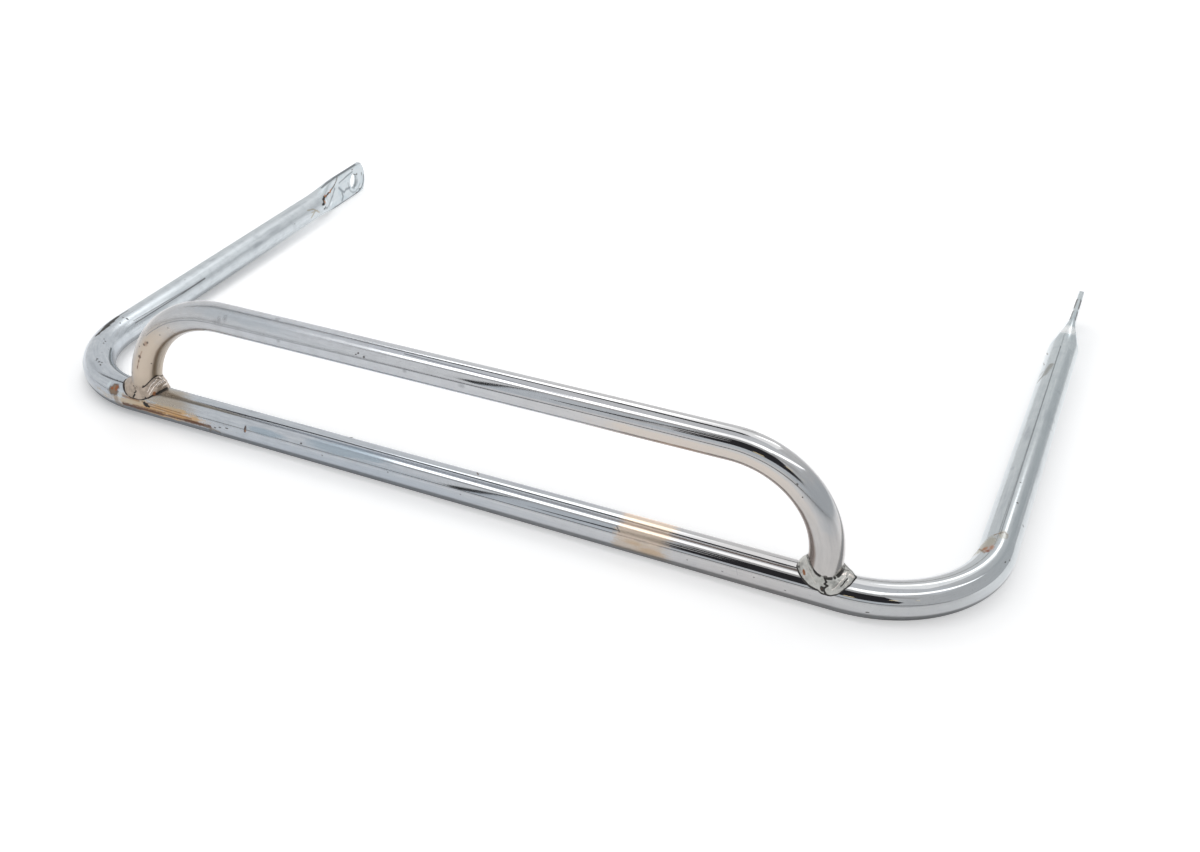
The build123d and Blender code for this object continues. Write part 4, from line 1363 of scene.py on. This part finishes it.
weld_right = weld_bead(
    "weld_right_bead", RIGHT_FOOT_X / MM, -1, RIGHT_LEG_STRAIGHT / MM, RIGHT_BEND / MM, RIGHT_RIMS,
    RIGHT_TOES,
    RIGHT_FULLNESS, RIGHT_RIM_INK, RIGHT_TOE_INK,
    grooves=[([(12, 0.0), (18, 0.24), (14, 0.36), (22, 0.46), (12, 0.66), (18, 0.9), (17, 1.0)], 0.62, 0.16,
              1.1),
             ([(56, 0.57), (64, 0.56), (66, 0.50), (74, 0.50)], 0.5, 0.15, 1.1),
             ([(106, 0.1), (101, 0.5), (97, 0.75), (93, 1.0)], 0.4, 0.15, 0.95),
             ([(-60, 0.22), (-38, 0.3), (-14, 0.62)], 0.4, -0.16, -0.55),
             ([(-30, 0.56), (-12, 0.8)], 0.22, 0.1, 0.36),
             ([(34, 0.62), (52, 0.34), (78, 0.3)], 0.45, -0.16, -0.6),
             ([(30, 0.8), (50, 0.78), (64, 0.7)], 0.24, 0.08, 0.34),
             ([(-78, 0.3), (-74, 0.6)], 0.4, -0.14, -0.5),
             ([(70, 0.08), (82, 0.24)], 0.5, -0.12, -0.9), ([(86, 0.46), (90, 0.8)], 0.55, -0.14, -0.9),
             ([(88, 0.06), (95, 0.34)], 0.28, 0.1, 0.75), ([(66, 0.74), (76, 0.64)], 0.45, -0.1, -0.7),
             ([(178, 0.0), (174, 0.5), (180, 1.0)], 0.5, 0.4, 0.8)],
    pits=[(9, 0.70, 1.25, 0.25, 1.1, 0.35), (14, 0.02, 0.8, 0.1, 1.1, 0.0), (18, 0.92, 0.55, 0.15, 1.0, 0.0),
          (-53, 0.67, 0.75, 0.25, 0.0, 1.0),
          (-56, 0.66, 0.3, 0.1, 1.0, 0.4), (-73, 0.8, 0.5, 0.1, 0.9, 0.0), (-50, 0.3, 0.3, 0.1, 0.5, 0.0),
          (78, 0.34, 0.35, 0.1, 0.8, 0.0)],
    finish=right_bead_plate, seed=7.0)


# Studio: a white tent with two long soft lights overhead, a dark slot between them, and an opening in front.
# Two narrow lights make the highlights on the right bend.

def card(name, points, radiance, tint=(1.0, 1.0, 1.0), lights=False, dims=None):
    """A flat card that the plate mirrors. Only a lighting card lights other things. It may dim along +X."""
    mesh = bpy.data.meshes.new(name)
    mesh.from_pydata(points, [], [tuple(range(len(points)))])
    finish = Finish(name)
    if dims:
        start, end, least = dims
        along = finish.part(finish.add("ShaderNodeTexCoord", output=3), 0)
        radiance = radiance * least + finish.step(along, end, start) * (radiance * (1 - least))
    glow = finish.add("ShaderNodeEmission", None, (*tint, 1.0), radiance)
    finish.add("ShaderNodeOutputMaterial", None, glow)
    mesh.materials.append(finish.material)
    piece = link(name, mesh)
    piece.visible_camera = False
    piece.visible_shadow = False
    piece.visible_diffuse = lights
    piece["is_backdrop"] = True
    return piece


def strip(name, path, half_wide, radiance, plane):
    """A narrow card along a path of (u, v, share of the half width): plane turns (u, v) into a point."""
    flat = np.array([p[:2] for p in path], float)
    wide = np.array([p[2] for p in path]) * half_wide
    run = np.gradient(flat, axis=0)
    run /= np.linalg.norm(run, axis=1)[:, None]
    aside = np.stack([-run[:, 1], run[:, 0]], 1) * wide[:, None]
    for i in range(len(flat) - 1):
        quad = [flat[i] - aside[i], flat[i + 1] - aside[i + 1], flat[i + 1] + aside[i + 1],
                flat[i] + aside[i]]
        card(f"{name}_{i}", [plane(*p) for p in quad], radiance)


CEILING = 0.75
FRONT = 1.25


def ceiling(x, y, lower=0.0):
    """A point overhead, in metres."""
    return (x, y, CEILING - lower)


def front(u, w, nearer=0.0, aside=0.10):
    """A point on the wall in front, from its slopes to the right and up as the front run sees them."""
    reach = FRONT - nearer
    return (u * reach + aside, BAR_Y - reach, w * reach)


card("rear_softbox", [ceiling(-0.57, 0.21), ceiling(-0.16, 0.21), ceiling(-0.02, 0.12), ceiling(0.12, 0.09),
                      ceiling(0.45, 0.09), ceiling(0.55, 0.76), ceiling(-0.26, 0.74)], 2.4,
     lights=True, dims=(-0.20, -0.04, 0.55))
card("front_softbox", [ceiling(-0.46, -0.50), ceiling(0.42, -0.50), ceiling(0.42, -0.285),
                       ceiling(-0.44, -0.285)], 2.8,
     lights=True, dims=(-0.25, 0.05, 0.6))
strip("bend_light", [(0.20, -0.37, 1.0), (0.42, -0.32, 1.0), (0.58, -0.20, 0.9), (0.75, 0.0, 0.8),
                     (0.88, 0.20, 0.5),
                     (0.96, 0.36, 0.1)], 0.075, 2.4, lambda u, v: ceiling(u, v, 0.03))
strip("bend_top_light", [(0.19, 0.42, 0.5), (0.27, 0.54, 1.0), (0.34, 0.66, 1.2), (0.40, 0.80, 1.2),
                         (0.46, 1.0, 0.8)], 0.07,
      2.6, lambda u, v: ceiling(u, v, 0.01))
card("front_grey", [ceiling(-0.60, -0.66), ceiling(0.9, -0.66), ceiling(0.9, -0.49), ceiling(-0.58, -0.49)],
     0.55)
card("ceiling_slot", [ceiling(-0.44, -0.285, 0.02), ceiling(0.9, -0.285, 0.02), ceiling(0.9, 0.10, 0.02),
                      ceiling(0.12, 0.10, 0.02), ceiling(-0.02, 0.13, 0.02), ceiling(-0.16, 0.22, 0.02),
                      ceiling(-0.50, 0.22, 0.02)], 0.82, (0.98, 1.0, 1.03))
strip("slot_edge", [(-1.5, -0.06, 0.5), (-0.80, -0.02, 1.0), (-0.71, 0.03, 1.1), (-0.61, 0.12, 1.1),
                    (-0.53, 0.165, 1),
                    (-0.40, 0.165, 1), (-0.17, 0.155, 1), (-0.02, 0.085, 1), (0.10, 0.05, 1),
                    (0.16, 0.05, 0.1)], 0.062, 0.05, lambda u, v: ceiling(u, v, 0.04))
strip("rear_line", [(-0.02, 0.85, 1), (0.02, 1.2, 1), (0.06, 2.0, 1)], 0.02, 0.05, lambda u,
      v: ceiling(u, v, 0.05))
card("front_opening", [front(-0.275, 0.43), front(-0.318, 0.80), front(-0.365, 1.45), front(0.72, 1.50),
                       front(0.80, 1.1), front(0.82, 0.85), front(0.98, 0.62),
                       front(0.84, 0.43)], 0.035, (1.0, 0.97, 1.1))
card("front_wing", [front(-0.54, 0.14), front(0.80, 0.14), front(0.70, 0.43), front(-0.275, 0.43),
                    front(-0.318, 0.80), front(-0.365, 1.45), front(-0.43, 1.80), front(-0.80, 2.26),
                    front(-0.776, 1.767), front(-0.683, 1.13), front(-0.629, 0.854), front(-0.57, 0.46)],
                    0.72, (0.95, 1.0, 1.05))
strip("wing_edge", [(-0.545, 0.20, 0.1), (-0.562, 0.335, 0.62), (-0.570, 0.46, 0.72), (-0.591, 0.64, 0.55),
                    (-0.629, 0.854, 0.45), (-0.683, 1.13, 0.38), (-0.734, 1.402, 0.34), (-0.776, 1.767, 0.30),
                    (-0.80, 2.26, 0.2)], 0.035, 0.02, lambda u, w: front(u, w, 0.05))
strip("opening_sliver", [(-0.47, 0.56, 1.6), (-0.41, 0.60, 1.9), (-0.36, 0.74, 1.2), (-0.34, 1.0, 0.8),
                         (-0.345, 1.3, 0.6)], 0.026, 0.02, lambda u, w: front(u, w, 0.04))
for slope, reach in ((1.12, 0.07), (0.80, 0.09), (0.56, 0.05)):
    strip("prong", [(-0.36, slope, 1.2), (-0.30, slope, 0.9), (-0.30 + reach, slope, 0.1)], 0.075, 0.6,
          lambda u, w: front(u, w, 0.04))
card("front_lip", [(-0.9, -0.335, 0.036), (0.9, -0.335, 0.036), (0.9, -0.335, 0.050), (-0.9, -0.335, 0.050)],
     0.22)
for left, right, low, high in ((0.05, 0.18, 0.47, 0.53), (0.72, 0.90, 0.87, 0.94), (1.36, 1.50, 1.00, 1.06)):
    card("glint", [front(left, low, 0.08), front(right, low + 0.01, 0.08), front(right + 0.02, high, 0.08),
                   front(left + 0.02, high - 0.01, 0.08)], 1.5, (1.0, 0.82, 0.5))

# The paper shows as white except near the object: there the object's close shadow is painted into the paper's
# glow, and the paper that the plate mirrors is painted darker under the tubes and outside the bends and
# lighter behind the front run
floor_mesh = bpy.data.meshes.new("floor")
floor_mesh.from_pydata([(-8, -8, 0), (8, -8, 0), (8, 8, 0), (-8, 8, 0)], [], [(0, 1, 2, 3)])
paper = Finish("paper")
seen = paper.add("ShaderNodeLightPath", output=0)
mirrored = paper.add("ShaderNodeLightPath", output=3)
spot = paper.add("ShaderNodeTexCoord", output=3)
away = paper.add("ShaderNodeVectorMath", {"operation": "LENGTH"}, spot, output=1)
across, back = paper.part(spot, 0), paper.part(spot, 1) - BAR_Y
past_bend = (across.math("ABSOLUTE") - BEND_X).math("MAXIMUM", 0.0)
before_bend = (BEND_R - back).math("MAXIMUM", 0.0)
nearby = ((past_bend * past_bend + before_bend * before_bend).math("SQRT") - BEND_R).math("ABSOLUTE")
beside_arm = (across.math("ABSOLUTE") - BAR_WIDTH / 2) * cos(SPLAY)
beside_arm = (beside_arm - back * sin(SPLAY)).math("ABSOLUTE")
on_arm = paper.step(back, 0.040, 0.060)
nearby = nearby + on_arm * (beside_arm - nearby)
# Painted contact shadow: the paper's glow is lowered in a narrow band along the tubes
painted_contact_shadow = paper.step(nearby, 0.0130, 0.0060) * paper.step(back, 0.32, 0.16)
painted_contact_shadow = painted_contact_shadow * (paper.step(across, -0.08, -0.19) * 0.17 + 0.03)
# Painted shade: the paper that the plate mirrors is darker right under the tubes
under = paper.step(nearby, 0.0125, 0.0088) * paper.step(back, 0.27, 0.12)
tone = paper.blend(mirrored, (0.80, 0.805, 0.815), (0.85, 0.85, 0.86))
tone = paper.blend(mirrored * under * 0.45, tone, (0.2, 0.2, 0.21))
matte = paper.add("ShaderNodeBsdfDiffuse", None, tone)
# Painted light and shade in what the plate mirrors: lighter behind the front run, a little darker outside the
# bends
behind = paper.step(back, -0.02, 0.05)
outer = paper.step(past_bend, 0.0, 0.05) * paper.step(back, 0.06, 0.0)
# The glow the camera sees: full white far away, slightly lower within a few cm of the tubes as part of the
# painted shadow
clear = paper.step(away, 0.30, 0.75) * 0.5 + paper.step(nearby, 0.010, 0.035) * 0.05 + 0.47
fill = seen * (clear - painted_contact_shadow) + mirrored * (0.385 + behind * 0.22 - under * 0.36 - outer * 0.08)
bright = paper.add("ShaderNodeEmission", None, (1.0, 1.0, 1.0, 1.0), fill)
paper.add("ShaderNodeOutputMaterial", None, paper.add("ShaderNodeAddShader", None, matte, bright))
floor_mesh.materials.append(paper.material)
floor = link("floor", floor_mesh)
floor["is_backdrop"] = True

world = bpy.data.worlds.new("studio")
bpy.context.scene.world = world
world.use_nodes = True
sky = Nodes(world.node_tree)
seen, mirrored, through = (sky.add("ShaderNodeLightPath", output=index) for index in (0, 3, 6))
bright = seen.math("MAXIMUM", mirrored).math("MAXIMUM", through)
toward = sky.part(sky.add("ShaderNodeTexCoord", output=0), 0)
side = sky.blend(sky.step(toward, 0.0, 0.75), (0.90, 0.90, 0.90), (0.66, 0.67, 0.68))
side = sky.blend(seen, side, (1.0, 1.0, 1.0))
dim = sky.add("ShaderNodeBackground", None, (1.0, 1.0, 1.0, 1.0), 0.45)
white = sky.add("ShaderNodeBackground", None, side, 1.0)
sky.add("ShaderNodeOutputWorld", None, sky.add("ShaderNodeMixShader", None, bright, dim, white))

camera_data = bpy.data.cameras.new("camera")
camera_data.sensor_fit = "HORIZONTAL"
camera_data.sensor_width = 36.0
camera_data.lens = 32.64
camera_data.clip_start = 0.01
camera_data.clip_end = 50.0
camera = bpy.data.objects.new("camera", camera_data)
bpy.context.scene.collection.objects.link(camera)
right = Vector((0.92004, 0.39103, 0.02492))
up = Vector((-0.22863, 0.48410, 0.84462))
ahead = Vector((-0.31821, 0.78278, -0.53479))
turned = Matrix((right, up, -ahead)).transposed().to_4x4()
camera.matrix_world = Matrix.Translation((0.21210, -0.49500, 0.29079)) @ turned
bpy.context.scene.camera = camera
bpy.context.scene.view_settings.view_transform = "Standard"

pieces = ((main_tube, "main_tube", "plated_tube"), (hoop_tube, "hoop_tube", "plated_hoop"),
          (weld_left, "weld_left", "plated_weld"), (weld_right, "weld_right", "plated_weld"))
for piece, node, slot in pieces:
    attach(piece, "root")
    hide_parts(node)

low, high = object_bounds()
